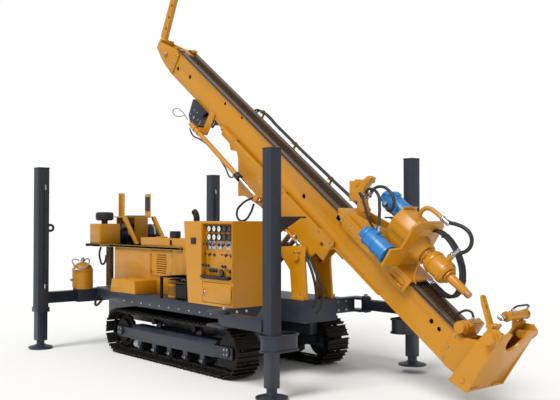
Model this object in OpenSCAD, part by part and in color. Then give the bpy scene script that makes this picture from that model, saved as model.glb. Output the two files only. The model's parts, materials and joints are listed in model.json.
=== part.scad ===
// Crawler drilling rig with a sliding mast, a lift carriage and four jack legs.
// Millimetres. +X points to the drilling end, +Z up, the right side is -Y.
// Body pieces are drawn about the middle of the tracks, mast pieces upright with
// X as depth (0 = back face of the mast), Z as height (0 = mast foot).

/* [Tracks] */
// Length over the shoes of a track
track_l = 2614; // [2500:2:2700]
// Height over the shoes of a track
track_h = 527; // [500:1:550]
// Width of a track shoe
shoe_w = 300; // [260:10:340]
// Width over both tracks
tracks_w = 1550; // [1500:10:1650]
// Number of shoes in a track
shoe_count = 42; // [36:1:44]
// Height of a grouser bar
grouser_h = 20; // [12:1:26]

/* [Deck] */
// Height of the deck top
deck_z = 725; // [700:5:760]
// Half width of the deck
deck_hw = 804; // [780:2:830]
// Half width of the deck at its rear end
deck_rear_hw = 600; // [540:10:700]
// Front end of the deck
deck_front = 1264; // [1250:2:1290]
// Depth of the skirt under the deck edge
skirt_h = 125; // [80:5:150]

/* [Legs] */
// Top of the leg tubes
leg_top = 2227; // [2000:5:2300]
// Bottom of the leg tubes
leg_bottom = 450; // [420:5:520]
// Place of the front legs along the rig
front_leg_x = 2029; // [1980:5:2080]
// Half spacing of the front legs
front_leg_y = 960; // [940:5:1000]
// Width of a front leg tube
front_leg_w = 118; // [112:2:130]
// Place of the rear legs along the rig
rear_leg_x = -1950; // [-1990:5:-1930]
// Half spacing of the rear legs
rear_leg_y = 1310; // [1290:5:1360]
// Width of a rear leg tube
rear_leg_w = 140; // [130:2:150]
// Radius of a jack foot
foot_r = 145; // [110:5:160]

/* [Console] */
// Top of the control console
console_top = 1570; // [1500:5:1620]
// Width of the control console along the rig
console_w = 764; // [740:4:800]
// Depth of the control console
console_d = 444; // [400:4:480]
// Recess of the control panel
panel_recess = 50; // [40:2:70]
// Radius of a gauge
gauge_r = 30; // [22:1:34]

/* [Hood] */
// Top of the hood roof
roof_z = 1270; // [1200:5:1275]
// Height of the tank above the roof
tank_rise = 100; // [60:5:110]

/* [Mast] */
// Tilt of the mast above the ground
mast_tilt = 36; // [34:0.5:38]
// Length of the mast beam
mast_l = 5200; // [5000:20:5300]
// Width of the mast beam
mast_w = 190; // [180:2:200]
// Depth of the mast beam
mast_d = 318; // [300:2:330]
// Wall of the mast beam
mast_wall = 10; // [6:1:14]
// Distance of the drill axis from the mast back
drill_axis = 580; // [560:5:600]
// Radius of the winch drum
drum_r = 60; // [45:1:70]
// Length of the jib
jib_l = 900; // [700:10:950]

/* [Hidden] */
$fn = 48;

// Offset of the tracks' middle from the model's origin
track_x = -930;
// Gap of pins, slides and runners
run_gap = 0.3;
LEFT = 1;
RIGHT = -1;

yellow = "#D9922A";
navy = "#2F3947";
black = "#1B1A17";
blue = "#1F7FC4";
steel = "#B9BDC2";
grease = "#4A3A2C";

module placed() { translate([track_x, 0, 0]) children(); }
// Pieces are drawn on the right side and mirrored to the left one
module on_side(side) { mirror([0, side == LEFT ? 1 : 0, 0]) children(); }
// Plate standing in the XZ plane between two values of Y
module xz_plate(points, y0, y1) {
    translate([0, y1, 0]) rotate([90, 0, 0]) linear_extrude(y1 - y0) polygon(points);
}
module box(x0, x1, y0, y1, z0, z1) {
    translate([x0, y0, z0]) cube([x1 - x0, y1 - y0, z1 - z0]);
}
// Round bar along Y
module y_bar(x, z, r, y0, y1) {
    translate([x, y1, z]) rotate([90, 0, 0]) cylinder(r = r, h = y1 - y0);
}

// Track and wheels
track_y = (tracks_w - shoe_w) / 2;
end_r = track_h / 2;
wheel_x = track_l / 2 - end_r;
shoe_t = 14;
band_t = 36;
shoe_r = end_r - grouser_h - shoe_t;
inner_r = shoe_r - band_t;
wheel_r = inner_r - 1;
shoe_pitch = (4 * wheel_x + 2 * PI * shoe_r) / shoe_count;
shoe_l = shoe_pitch - 14;

// Place and turn of a point at distance d along the loop: [x, z, angle]
function loop_place(d) =
    let (run = 2 * wheel_x, arc = PI * shoe_r)
    d < run ? [-wheel_x + d, end_r + shoe_r, 0] :
    d < run + arc ? let (a = (d - run) / arc * 180)
        [wheel_x + shoe_r * sin(a), end_r + shoe_r * cos(a), -a] :
    d < 2 * run + arc ? [wheel_x - (d - run - arc), end_r - shoe_r, 180] :
    let (a = (d - 2 * run - arc) / arc * 180)
        [-wheel_x - shoe_r * sin(a), end_r - shoe_r * cos(a), 180 - a];

module loop_band(r) {
    for (x = [-wheel_x, wheel_x]) translate([x, end_r]) circle(r = r, $fn = 64);
    translate([-wheel_x, end_r - r]) square([2 * wheel_x, 2 * r]);
}

module shoe_outline() {
    translate([-shoe_l / 2, -4]) square([shoe_l, shoe_t + 4]);
    translate([-shoe_l / 2, 0]) square([12, shoe_t + grouser_h]);
}

module track() {
    color(black)
    translate([0, -track_y + shoe_w / 2, 0]) rotate([90, 0, 0]) linear_extrude(shoe_w)
    difference() {
        union() {
            loop_band(shoe_r);
            for (i = [0 : shoe_count - 1]) {
                at = loop_place((i + 0.5) * shoe_pitch);
                translate([at[0], at[1]]) rotate(at[2]) shoe_outline();
            }
        }
        loop_band(inner_r);
    }
}

frame_beam_w = 170;
frame_beam_z0 = 185;
frame_beam_z1 = 350;
roller_r = 48;
roller_z = end_r - inner_r + roller_r + 1;
roller_axle_r = 14;
roller_xs = [-620, -310, 0, 310, 620];
carrier_xs = [-420, 380];
carrier_r = 34;
carrier_z = end_r + inner_r - carrier_r - 1;
fork_x = wheel_x - wheel_r - 20;
idler_w = 110;
axle_r = 30;

module track_frame() {
    y0 = -track_y - frame_beam_w / 2;
    y1 = -track_y + frame_beam_w / 2;
    color(navy) {
        difference() {
            union() {
                // Beam with a sloped outer shoulder
                translate([-fork_x + 10, -track_y, 0]) rotate([90, 0, 90])
                linear_extrude(2 * fork_x - 10)
                polygon([
                    [-frame_beam_w / 2, frame_beam_z0], [frame_beam_w / 2, frame_beam_z0],
                    [frame_beam_w / 2, frame_beam_z1], [-frame_beam_w / 2 + 45, frame_beam_z1],
                    [-frame_beam_w / 2, frame_beam_z1 - 40]
                ]);
                // Idler fork at the front, motor plates at the rear
                for (y = [y0, y1 - 20]) {
                    box(fork_x - 30, wheel_x + 90, y, y + 20, frame_beam_z0 + 10, frame_beam_z1 - 40);
                    box(-wheel_x - 90, -fork_x + 40, y, y + 20, frame_beam_z0 + 10, frame_beam_z1 - 40);
                }
                // Roller bearings
                for (x = roller_xs, y = [y0, y1 - 24])
                    box(x - 38, x + 38, y, y + 24, roller_z - 26, frame_beam_z0);
                for (x = carrier_xs)
                    box(x - 45, x + 45, y1 - 40, y1 - 10, frame_beam_z1, carrier_z + 25);
            }
            for (x = [-wheel_x, wheel_x]) y_bar(x, end_r, axle_r + 0.5, y0 - 5, y1 + 5);
            for (x = roller_xs) y_bar(x, roller_z, roller_axle_r + 0.5, y0 - 5, y1 + 5);
            for (x = carrier_xs) y_bar(x, carrier_z, roller_axle_r + 0.5, y1 - 50, y1);
        }
    }
}

sprocket_teeth = 16;
module track_wheels() {
    y0 = -track_y - frame_beam_w / 2;
    y1 = -track_y + frame_beam_w / 2;
    color(black) {
        // Front idler with its flanges and axle
        y_bar(wheel_x, end_r, wheel_r, -track_y - 18, -track_y + 18);
        y_bar(wheel_x, end_r, wheel_r - 24, -track_y - idler_w / 2, -track_y + idler_w / 2);
        y_bar(wheel_x, end_r, axle_r, y0 - 4, y1 + 4);
        // Rear sprocket with its teeth, hub and axle
        translate([-wheel_x, -track_y + 18, end_r]) rotate([90, 0, 0]) linear_extrude(36)
        difference() {
            circle(r = wheel_r);
            for (i = [0 : sprocket_teeth - 1]) rotate(i * 360 / sprocket_teeth)
                translate([wheel_r + 6, 0]) circle(r = 20, $fn = 24);
        }
        y_bar(-wheel_x, end_r, wheel_r - 60, -track_y - idler_w / 2, -track_y + idler_w / 2);
        y_bar(-wheel_x, end_r, axle_r, y0 - 4, y1 + 4);
        // Rollers
        for (x = roller_xs) {
            y_bar(x, roller_z, roller_r, -track_y - 55, -track_y + 55);
            y_bar(x, roller_z, roller_axle_r, y0 - 4, y1 + 4);
        }
        for (x = carrier_xs) {
            y_bar(x, carrier_z, carrier_r, -track_y - 30, -track_y + 30);
            y_bar(x, carrier_z, roller_axle_r, -track_y, y1 - 4);
        }
    }
}

// Chassis
rail_y0 = 330;
rail_y1 = 430;
plate_t = 12;
deck_rear = rear_leg_x + 90;
cross_xs = [-460, 460];
beam_w = 110;
beam_h = 160;
front_beam_hw = 900;
pivot_x = deck_front + 96;
pivot_y = front_beam_hw + 80;
pivot_r = 20;
lug_t = 25;
skirt_z = deck_z - skirt_h;
pedestal_x = 1660;
pedestal_z = 790;

function deck_points(inset) = [
    [deck_rear + inset, -deck_rear_hw + inset], [-900, -deck_hw + inset],
    [deck_front - beam_w, -deck_hw + inset], [deck_front - beam_w, deck_hw - inset],
    [-900, deck_hw - inset], [deck_rear + inset, deck_rear_hw - inset]
];

module chassis_frame() {
    color(navy) {
        for (side = [LEFT, RIGHT]) on_side(side) {
            // Main rail and the cross tubes to the track frame
            box(deck_rear + plate_t, deck_front - beam_w, -rail_y1, -rail_y0,
                frame_beam_z1, deck_z - plate_t);
            for (x = cross_xs)
                box(x - 70, x + 70, -track_y + frame_beam_w / 2, 0, frame_beam_z0 + 15, frame_beam_z1);
            // Lugs and pin of the front leg
            difference() {
                for (z = [deck_z - beam_h, deck_z - lug_t]) {
                    box(deck_front - beam_w, pivot_x, -pivot_y - 60, -front_beam_hw + 10, z, z + lug_t);
                    translate([pivot_x, -pivot_y, z]) cylinder(r = 60, h = lug_t);
                }
                box(deck_front, pivot_x + 100, -pivot_y - 100, -front_beam_hw,
                    deck_z - beam_h + lug_t, deck_z - lug_t);
            }
            translate([pivot_x, -pivot_y, deck_z - beam_h - 10]) cylinder(r = pivot_r, h = beam_h + 20);
        }
        // Front beam
        box(deck_front - beam_w, deck_front, -front_beam_hw, front_beam_hw, deck_z - beam_h, deck_z);
        // Pedestal of the mast support
        box(deck_front, pedestal_x, -220, 220, deck_z - beam_h, pedestal_z);
    }
}

module deck() {
    color(navy) {
        translate([0, 0, deck_z - plate_t]) linear_extrude(plate_t) polygon(deck_points(0));
        difference() {
            translate([0, 0, skirt_z]) linear_extrude(skirt_h - plate_t) polygon(deck_points(0));
            translate([0, 0, skirt_z - 1]) linear_extrude(skirt_h - plate_t + 1) polygon(deck_points(plate_t));
        }
    }
}

sleeve_w = 150;
sleeve_z0 = 540;
sleeve_z1 = 700;
sleeve_hl = 850;
sleeve_wall = 12;

module rear_sleeve() {
    color(navy) difference() {
        union() {
            box(rear_leg_x - sleeve_w / 2, rear_leg_x + sleeve_w / 2, -sleeve_hl, sleeve_hl, sleeve_z0, sleeve_z1);
            // Tie to the main rails
            box(rear_leg_x + sleeve_w / 2, deck_rear, -rail_y1, rail_y1, sleeve_z0, sleeve_z1);
        }
        box(rear_leg_x - sleeve_w / 2 + sleeve_wall, rear_leg_x + sleeve_w / 2 - sleeve_wall,
            -sleeve_hl - 1, sleeve_hl + 1, sleeve_z0 + sleeve_wall, sleeve_z1 - sleeve_wall);
    }
}

// Legs and jacks
leg_wall = 8;
jack_top = 1900;
// Legs: [x, y, tube width, gap under the foot]
FRONT_RIGHT_LEG = [front_leg_x, front_leg_y, front_leg_w, 12];
FRONT_LEFT_LEG = [front_leg_x, front_leg_y, front_leg_w, 75];
REAR_RIGHT_LEG = [rear_leg_x, rear_leg_y, rear_leg_w, 12];
REAR_LEFT_LEG = [rear_leg_x, rear_leg_y, rear_leg_w, 40];

module leg_tube(x, y, w) {
    difference() {
        box(x - w / 2, x + w / 2, -y - w / 2, -y + w / 2, leg_bottom, leg_top);
        box(x - w / 2 + leg_wall, x + w / 2 - leg_wall, -y - w / 2 + leg_wall, -y + w / 2 - leg_wall,
            leg_bottom - 1, leg_top - leg_wall);
    }
    // Collar round the lower end
    difference() {
        box(x - w / 2 - 10, x + w / 2 + 10, -y - w / 2 - 10, -y + w / 2 + 10, leg_bottom, leg_bottom + 60);
        box(x - w / 2 + leg_wall, x + w / 2 - leg_wall, -y - w / 2 + leg_wall, -y + w / 2 - leg_wall,
            leg_bottom - 1, leg_bottom + 61);
    }
}

arm_z0 = deck_z - beam_h + lug_t + run_gap;
arm_z1 = deck_z - lug_t - run_gap;
arm_w = 104;
bracket_reach = 360;

module front_leg(leg) {
    x = leg[0];
    y = leg[1];
    w = leg[2];
    color(navy) {
        leg_tube(x, y, w);
        difference() {
            union() {
                // Arm from the pivot eye to the tube
                box(pivot_x, x - w / 2, -pivot_y - arm_w / 2, -pivot_y + arm_w / 2, arm_z0, arm_z1);
                translate([pivot_x, -pivot_y, arm_z0]) cylinder(r = arm_w / 2, h = arm_z1 - arm_z0);
            }
            translate([pivot_x, -pivot_y, arm_z0 - 1]) cylinder(r = pivot_r + run_gap, h = arm_z1 - arm_z0 + 2);
        }
        // Gussets over and under the arm
        xz_plate([[x - w / 2 - 160, arm_z1], [x - w / 2, arm_z1], [x - w / 2, arm_z1 + 160]],
            -y - 8, -y + 8);
        // Upper bracket that points to the mast, with its gusset
        box(x - w / 2, x + w / 2, -y + w / 2, -y + bracket_reach, 1600, 1616);
        translate([x + 8, -y + w / 2, 1600]) rotate([0, -90, 0]) linear_extrude(16)
            polygon([[0, 0], [0, bracket_reach - 80], [-150, 0]]);
        // Lower collar bracket
        translate([0, 0, 420]) linear_extrude(150) difference() {
            union() {
                translate([x - 45, -y + w / 2 + 10]) square([90, bracket_reach - 150]);
                translate([x, -y + w / 2 + bracket_reach - 140]) circle(r = 45);
            }
            translate([x, -y + w / 2 + bracket_reach - 140]) circle(r = 25);
        }
    }
}

module rear_leg(leg) {
    x = leg[0];
    y = leg[1];
    w = leg[2];
    hw = sleeve_w / 2 - sleeve_wall - run_gap;
    color(navy) {
        leg_tube(x, y, w);
        // Beam that runs in the rear sleeve
        box(x - hw, x + hw, -y + w / 2, -350,
            sleeve_z0 + sleeve_wall + run_gap, sleeve_z1 - sleeve_wall - run_gap);
        // Lug with a hole at the side of the tube
        difference() {
            union() {
                box(x - 8, x + 8, -y + w / 2, -y + w / 2 + 50, 1430, 1530);
                translate([x - 8, -y + w / 2 + 50, 1480]) rotate([0, 90, 0]) cylinder(r = 50, h = 16);
            }
            translate([x - 9, -y + w / 2 + 50, 1480]) rotate([0, 90, 0]) cylinder(r = 22, h = 18);
        }
    }
}

foot_h = 90;
module jack(leg) {
    x = leg[0];
    y = leg[1];
    w = leg[2] - 2 * leg_wall - 2 * run_gap;
    z = leg[3];
    color(navy) {
        box(x - w / 2, x + w / 2, -y - w / 2, -y + w / 2, z + foot_h, jack_top);
        translate([x, -y, z]) rotate_extrude()
            polygon([[0, 0], [foot_r, 0], [foot_r, 14], [70, 34], [48, 48], [48, foot_h], [0, foot_h]]);
    }
}

// Control console
console_x0 = deck_front - console_w;
console_y = -deck_hw;
console_lean = 78;
console_wall = 12;
panel_x0 = deck_front - 524;
panel_x1 = deck_front - 14;
panel_z0 = deck_z + 260;
panel_z1 = console_top - 15;
door_gap = 5;
door_z0 = deck_z + 25;
door_z1 = panel_z0 - 25;

function console_side(inset) = [
    [console_x0 + inset, deck_z + inset], [deck_front - inset, deck_z + inset],
    [deck_front - inset, console_top - inset], [console_x0 - console_lean + inset, console_top - inset]
];

hinge_r = 9;
hinge_pin_r = 5;
// Knuckles of a door hinge on a face at y: of the door, and of its frame with the pin
module door_knuckle(x, y, z0, z1, leaf) {
    difference() {
        union() {
            translate([x, y - hinge_r, z0]) cylinder(r = hinge_r, h = z1 - z0);
            box(min(x, x + leaf), max(x, x + leaf), y - hinge_r, y, z0, z1);
        }
        translate([x, y - hinge_r, z0 - 1]) cylinder(r = hinge_pin_r + run_gap, h = z1 - z0 + 2);
    }
}
module frame_knuckles(x, y, z0, z1, leaf) {
    for (z = [z0 - 30, z1 + run_gap]) {
        translate([x, y - hinge_r, z]) cylinder(r = hinge_r, h = 30 - run_gap);
        box(min(x, x + leaf), max(x, x + leaf), y - hinge_r, y, z, z + 30 - run_gap);
    }
    translate([x, y - hinge_r, z0 - 30]) cylinder(r = hinge_pin_r, h = z1 - z0 + 60);
}

door_hinge_x = panel_x1 - 10;
door_hinge_z0 = door_z0 + 60;
door_hinge_z1 = door_z1 - 60;
module console_housing() {
    color(yellow) frame_knuckles(door_hinge_x, console_y, door_hinge_z0, door_hinge_z1, 16);
    color(yellow) difference() {
        xz_plate(console_side(0), console_y, console_y + console_d);
        xz_plate(console_side(console_wall), console_y + console_wall, console_y + console_d - console_wall);
        box(panel_x0, panel_x1, console_y - 1, console_y + 40, panel_z0, panel_z1);
        box(panel_x0 + 10, panel_x1 - 10, console_y - 1, console_y + 40, door_z0, door_z1);
    }
}

gauge_rows = 2;
gauge_columns = 5;
gauge_pitch = 84;
// Levers: [x from the panel's left edge, z from its lower edge, length]
LEVERS = [
    [70, 330, 90], [150, 330, 90], [300, 330, 90], [400, 330, 90], [70, 190, 70],
    [360, 190, 70], [430, 190, 70], [90, 60, 110], [130, 60, 110], [170, 60, 110]
];
module console_panel() {
    y_back = console_y + panel_recess;
    // Tray in the recess
    color(yellow) difference() {
        box(panel_x0, panel_x1, console_y, y_back + 8, panel_z0, panel_z1);
        box(panel_x0 + 8, panel_x1 - 8, console_y - 1, y_back, panel_z0 + 8, panel_z1 - 8);
    }
    color(black) {
        for (column = [0 : gauge_columns - 1], row = [0 : gauge_rows - 1])
            y_bar(panel_x0 + 90 + column * gauge_pitch, panel_z1 - 60 - row * gauge_pitch, gauge_r,
                y_back - 22, y_back);
        for (lever = LEVERS)
            y_bar(panel_x0 + lever[0], panel_z0 + lever[1], 6, y_back - lever[2], y_back);
    }
}

module console_door() {
    x0 = panel_x0 + 10 + door_gap;
    x1 = panel_x1 - 10 - door_gap;
    color(yellow) {
        box(x0, x1, console_y, console_y + console_wall, door_z0 + door_gap, door_z1 - door_gap);
        box(x0 + 25, x0 + 45, console_y - 25, console_y, door_z0 + 80, door_z0 + 140);
        door_knuckle(door_hinge_x, console_y, door_hinge_z0, door_hinge_z1, -16);
    }
}

// Hood, roof and tank
hood_rear = -1580;
hood_front = -50;
hood_right = -500;
hood_left = 620;
hood_wall = 12;
roof_t = 30;
hood_door_x0 = -720;
hood_door_x1 = -260;
hood_door_z0 = deck_z + 195;
hood_door_z1 = deck_z + 500;
louvre_count = 9;

hood_hinge_z0 = hood_door_z0 + 70;
hood_hinge_z1 = hood_door_z1 - 70;
module hood_body() {
    color(yellow) frame_knuckles(hood_door_x0, hood_right, hood_hinge_z0, hood_hinge_z1, -16);
    color(yellow) difference() {
        box(hood_rear, hood_front, hood_right, hood_left, deck_z, roof_z - roof_t);
        box(hood_rear + hood_wall, hood_front - hood_wall, hood_right + hood_wall, hood_left - hood_wall,
            deck_z - 1, roof_z - roof_t - hood_wall);
        box(hood_door_x0, hood_door_x1, hood_right - 1, hood_right + 40, hood_door_z0, hood_door_z1);
    }
}

module hood_door() {
    x0 = hood_door_x0 + door_gap;
    x1 = hood_door_x1 - door_gap;
    pitch = 26;
    color(yellow) door_knuckle(hood_door_x0, hood_right, hood_hinge_z0, hood_hinge_z1, 16);
    color(yellow) difference() {
        box(x0, x1, hood_right, hood_right + hood_wall, hood_door_z0 + door_gap, hood_door_z1 - door_gap);
        for (i = [0 : louvre_count - 1])
            box(x0 + 110 + 4 * abs(i - 4), x1 - 110 - 4 * abs(i - 4), hood_right - 1, hood_right + 40,
                hood_door_z0 + 40 + i * pitch, hood_door_z0 + 49 + i * pitch);
    }
}

cradle_x = rear_leg_x + 20;
post_x = -1880;
post_y = -400;
module hood_roof() {
    color(yellow) translate([0, 0, roof_z - roof_t]) linear_extrude(roof_t) polygon([
        [-2080, -640], [-1700, -640], [-1640, hood_right - 30], [hood_front, hood_right - 30],
        [hood_front, hood_left + 20], [-2080, hood_left + 20]
    ]);
    color(navy) for (y = [post_y, 480])
        translate([post_x, y, deck_z]) cylinder(r = 48, h = roof_z - roof_t - deck_z);
}

tank_y1 = -300;
cap_x = -330;
module hydraulic_tank() {
    color(yellow) {
        box(hood_front, console_x0 - console_lean - 5, hood_right, tank_y1, deck_z, roof_z + tank_rise);
        box(-950, hood_front, hood_right, tank_y1, roof_z, roof_z + tank_rise);
    }
    color(black) translate([cap_x, -415, roof_z + tank_rise]) cylinder(r = 56, h = 80);
}

module engine_block() {
    color("dimgray") box(-1250, -200, -260, 420, deck_z, 1180);
}

cleaner_r = 118;
cleaner_z = roof_z + cleaner_r + 14;
saddle_z = 1625;
module air_cleaner() {
    color(navy) {
        y_bar(cradle_x, cleaner_z, cleaner_r, -260, 330);
        y_bar(cradle_x, cleaner_z, cleaner_r - 30, -290, 350);
        for (y = [-180, 220]) box(cradle_x - 90, cradle_x + 90, y, y + 40, roof_z, cleaner_z);
    }
}

module intake_box() {
    color(yellow) box(-2020, -1740, -620, -330, roof_z, 1530);
    color(black) {
        translate([-1880, -480, 1530]) cylinder(r = 40, h = 40);
        translate([-1880, -480, 1570]) rotate_extrude()
            polygon([[0, 0], [95, 0], [115, 20], [115, 85], [100, 105], [0, 110]]);
        y_bar(cradle_x, cleaner_z, 45, -330, -290);
    }
}

exhaust_x = -1050;
exhaust_y = 390;
module exhaust_pipe() {
    color(black) {
        translate([exhaust_x, exhaust_y, roof_z]) cylinder(r = 40, h = 320);
        translate([exhaust_x - 110, exhaust_y, roof_z + 320]) rotate([90, 0, 0])
            rotate_extrude(angle = 60) translate([110, 0]) circle(r = 40);
    }
}

upright_y = 195;
upright_w = 50;
module mast_cradle() {
    color(yellow) {
        box(cradle_x - 142, cradle_x + 134, -240, 240, saddle_z - 16, saddle_z);
        // Front and rear plates that carry the saddle
        box(cradle_x + 122, cradle_x + 134, -80, 120, roof_z, saddle_z - 16);
        box(cradle_x - 142, cradle_x - 130, -200, 200, roof_z, saddle_z - 16);
        for (side = [LEFT, RIGHT]) on_side(side) {
            // Upright of angle section
            box(cradle_x - 70, cradle_x + 70, -upright_y - 8, -upright_y, saddle_z, 1930);
            box(cradle_x - 8, cradle_x, -upright_y - upright_w, -upright_y - 8, saddle_z, 1930);
        }
        // Sloping brace down to the roof
        for (y = [-240, 200]) xz_plate([
            [cradle_x + 134, saddle_z], [cradle_x + 94, saddle_z - 16], [cradle_x + 94, saddle_z - 40],
            [cradle_x + 390, roof_z], [cradle_x + 440, roof_z]
        ], y, y + 40);
    }
}

module step_box() {
    color(yellow) xz_plate([
        [-1160, deck_z], [-585, deck_z], [-600, deck_z + 155], [-1120, deck_z + 155]
    ], -deck_hw + 10, hood_right);
}

shelf_x0 = -60;
shelf_x1 = 460;
shelf_y = -790;
shelf_z = deck_z + 230;
module battery_shelf() {
    color(steel) box(shelf_x0, shelf_x1, shelf_y, hood_right, shelf_z, shelf_z + 12);
    color(black) {
        for (x = [shelf_x0, shelf_x1 - 25]) box(x, x + 25, shelf_y, shelf_y + 25, deck_z, shelf_z);
        box(200, 430, -760, -560, deck_z, deck_z + 190);
    }
    color(yellow) translate([70, -680, deck_z]) cylinder(r = 75, h = 190);
}

lubricator_y = -750;
module lubricator_tank() {
    color(yellow) translate([rear_leg_x, lubricator_y, sleeve_z1]) rotate_extrude()
        polygon([[0, 0], [120, 0], [130, 30], [130, 240], [105, 300], [50, 335], [0, 340]]);
    color(steel) translate([rear_leg_x, lubricator_y, sleeve_z1 + 340]) cylinder(r = 22, h = 40);
}

// Place of a mast point [height, depth] in the rig
mast_foot = [3250, 372];
function on_mast_x(p) = mast_foot[0] - cos(mast_tilt) * p[0] + sin(mast_tilt) * p[1];
function on_mast_z(p) = mast_foot[1] + sin(mast_tilt) * p[0] + cos(mast_tilt) * p[1];

// Lift pivot and support
pivot_s = 1900;
pivot_t = -340;
lift_pivot = [on_mast_x([pivot_s, pivot_t]), on_mast_z([pivot_s, pivot_t])];
lift_pin_r = 30;
carriage_y0 = 130;
carriage_y1 = 150;
ear_y0 = 162;
ear_y1 = 187;
lift_base = [500, 800];
lift_bore_r = 20;
lift_y = 62;
lift_w = 84;

module support_ears() {
    color(yellow) for (side = [LEFT, RIGHT]) on_side(side) {
        xz_plate([
            [1430, pedestal_z], [1650, pedestal_z], [1620, 1150], [1630, 1310],
            [1560, 1330], [1250, 1310], [1270, 1210], [1400, 1080]
        ], -ear_y1, -ear_y0);
        y_bar(lift_pivot[0], lift_pivot[1], lift_pin_r, -ear_y1 - 20, -carriage_y0 + 2);
        box(1450, 1640, -ear_y1 - 30, -ear_y1, pedestal_z, pedestal_z + 40);
    }
    // Lugs and pin at the base of the lift cylinders
    color(navy) {
        for (y = [-128, -9, 110])
            difference() {
                xz_plate([
                    [lift_base[0] - 90, deck_z], [lift_base[0] + 90, deck_z],
                    [lift_base[0] + 40, lift_base[1] + 40], [lift_base[0] - 40, lift_base[1] + 40]
                ], y, y + 18);
            }
        y_bar(lift_base[0], lift_base[1], lift_bore_r - 0.4, -135, 135);
    }
}

// Lift cylinders at rest: the eye is on the carriage
lift_eye = [2200, -200];
eye_dx = on_mast_x(lift_eye) - lift_base[0];
eye_dz = on_mast_z(lift_eye) - lift_base[1];
lift_len = sqrt(eye_dx * eye_dx + eye_dz * eye_dz);
lift_angle = atan2(eye_dz, eye_dx);
barrel_r = 48;
barrel_bore_r = 34;
barrel_l = 780;
rod_r = 28;
rod_eye_r = 40;

// Draws along +X from the base pin towards the rod eye
module along_lift() {
    translate([lift_base[0], 0, lift_base[1]]) rotate([0, -lift_angle, 0]) children();
}

module lift_barrels() {
    color(navy) along_lift() for (y = [-lift_y, lift_y]) difference() {
        union() {
            translate([0, y, 0]) rotate([0, 90, 0]) cylinder(r = barrel_r, h = barrel_l);
            y_bar(0, 0, barrel_r, y - lift_w / 2, y + lift_w / 2);
            translate([barrel_l - 60, y, 0]) rotate([0, 90, 0]) cylinder(r = barrel_r + 4, h = 60);
        }
        translate([70, y, 0]) rotate([0, 90, 0]) cylinder(r = barrel_bore_r, h = barrel_l - 130);
        translate([70, y, 0]) rotate([0, 90, 0]) cylinder(r = rod_r + run_gap, h = barrel_l);
        y_bar(0, 0, lift_bore_r, y - lift_w, y + lift_w);
    }
}

module lift_rods() {
    color(steel) along_lift() for (y = [-lift_y, lift_y]) difference() {
        union() {
            translate([lift_len - 740, y, 0]) rotate([0, 90, 0]) cylinder(r = rod_r, h = 740);
            y_bar(lift_len, 0, rod_eye_r, y - 25, y + 25);
        }
        y_bar(lift_len, 0, lift_bore_r, y - 60, y + 60);
    }
}

// Mast group
module on_mast() {
    translate([mast_foot[0], 0, mast_foot[1]]) rotate([0, mast_tilt - 90, 0]) children();
}
// Drill pieces lie on the drill axis
module on_drill_axis(s) { translate([drill_axis, 0, s]) children(); }

CARRIAGE = [
    [250, 3600], [80, 3600], [0, 3370], [-100, 3250], [-450, 3240], [-310, 2760], [-200, 2370],
    [-215, 2230], [-420, 2010], [-430, 1830], [-200, 1600], [40, 1380], [250, 1500]
];
// Guide pads: lower and upper end along the mast
PADS = [[1560, 1840], [2420, 2700], [3280, 3560]];
slide_y = -222;
slide_t = -200;
slide_lug_s = 2750;

module mast_carriage() {
    color(yellow) {
        for (side = [LEFT, RIGHT]) on_side(side) difference() {
            union() {
                xz_plate(CARRIAGE, -carriage_y1, -carriage_y0);
                for (pad = PADS)
                    box(30, 240, -carriage_y0, -mast_w / 2 - run_gap, pad[0], pad[1]);
                y_bar(pivot_t, pivot_s, 62, -carriage_y1 - 6, -carriage_y0);
            }
            y_bar(pivot_t, pivot_s, lift_pin_r + 0.5, -carriage_y1 - 20, 0);
            y_bar(-60, 1720, 45, -carriage_y1 - 20, 0);
        }
        // Cross plates under the mast
        box(-40, -14, -carriage_y0, carriage_y0, 1500, 1800);
        box(-40, -14, -carriage_y0, carriage_y0, 2500, 3300);
        box(-330, -40, -carriage_y0, carriage_y0, 3180, 3200);
        // Lug of the slide cylinder
        box(slide_t - 35, slide_t + 35, slide_y - 35, -carriage_y1, slide_lug_s - 60, slide_lug_s);
    }
}

slide_rod_r = 20;
slide_bore_r = 26;
slide_barrel_r = 38;
slide_barrel_s1 = mast_l - 950;
slide_barrel_s0 = slide_barrel_s1 - 1150;
slide_bracket_s = slide_barrel_s1 - 215;
module slide_rod() {
    color(steel) translate([slide_t, slide_y, slide_lug_s]) cylinder(r = slide_rod_r, h = 1200);
}

module slide_barrel() {
    difference() {
        union() {
            color(yellow) translate([slide_t, slide_y, slide_barrel_s0])
                cylinder(r = slide_barrel_r, h = slide_barrel_s1 - slide_barrel_s0);
            color(black) translate([slide_t, slide_y, slide_barrel_s0])
                cylinder(r = slide_barrel_r + 10, h = 70);
            // Bracket to the mast
            color(yellow) {
                box(slide_t - 20, 60, -mast_w / 2 - 12, -mast_w / 2,
                    slide_bracket_s, slide_bracket_s + 110);
                box(slide_t - 20, slide_t + 20, slide_y + 20, -mast_w / 2,
                    slide_bracket_s, slide_bracket_s + 110);
            }
        }
        translate([slide_t, slide_y, slide_barrel_s0 + 60])
            cylinder(r = slide_bore_r, h = slide_barrel_s1 - slide_barrel_s0 - 90);
        translate([slide_t, slide_y, slide_barrel_s0 - 1]) cylinder(r = slide_rod_r + run_gap, h = 100);
    }
}

rail_t = 18;
rail_hw = 125;
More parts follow.
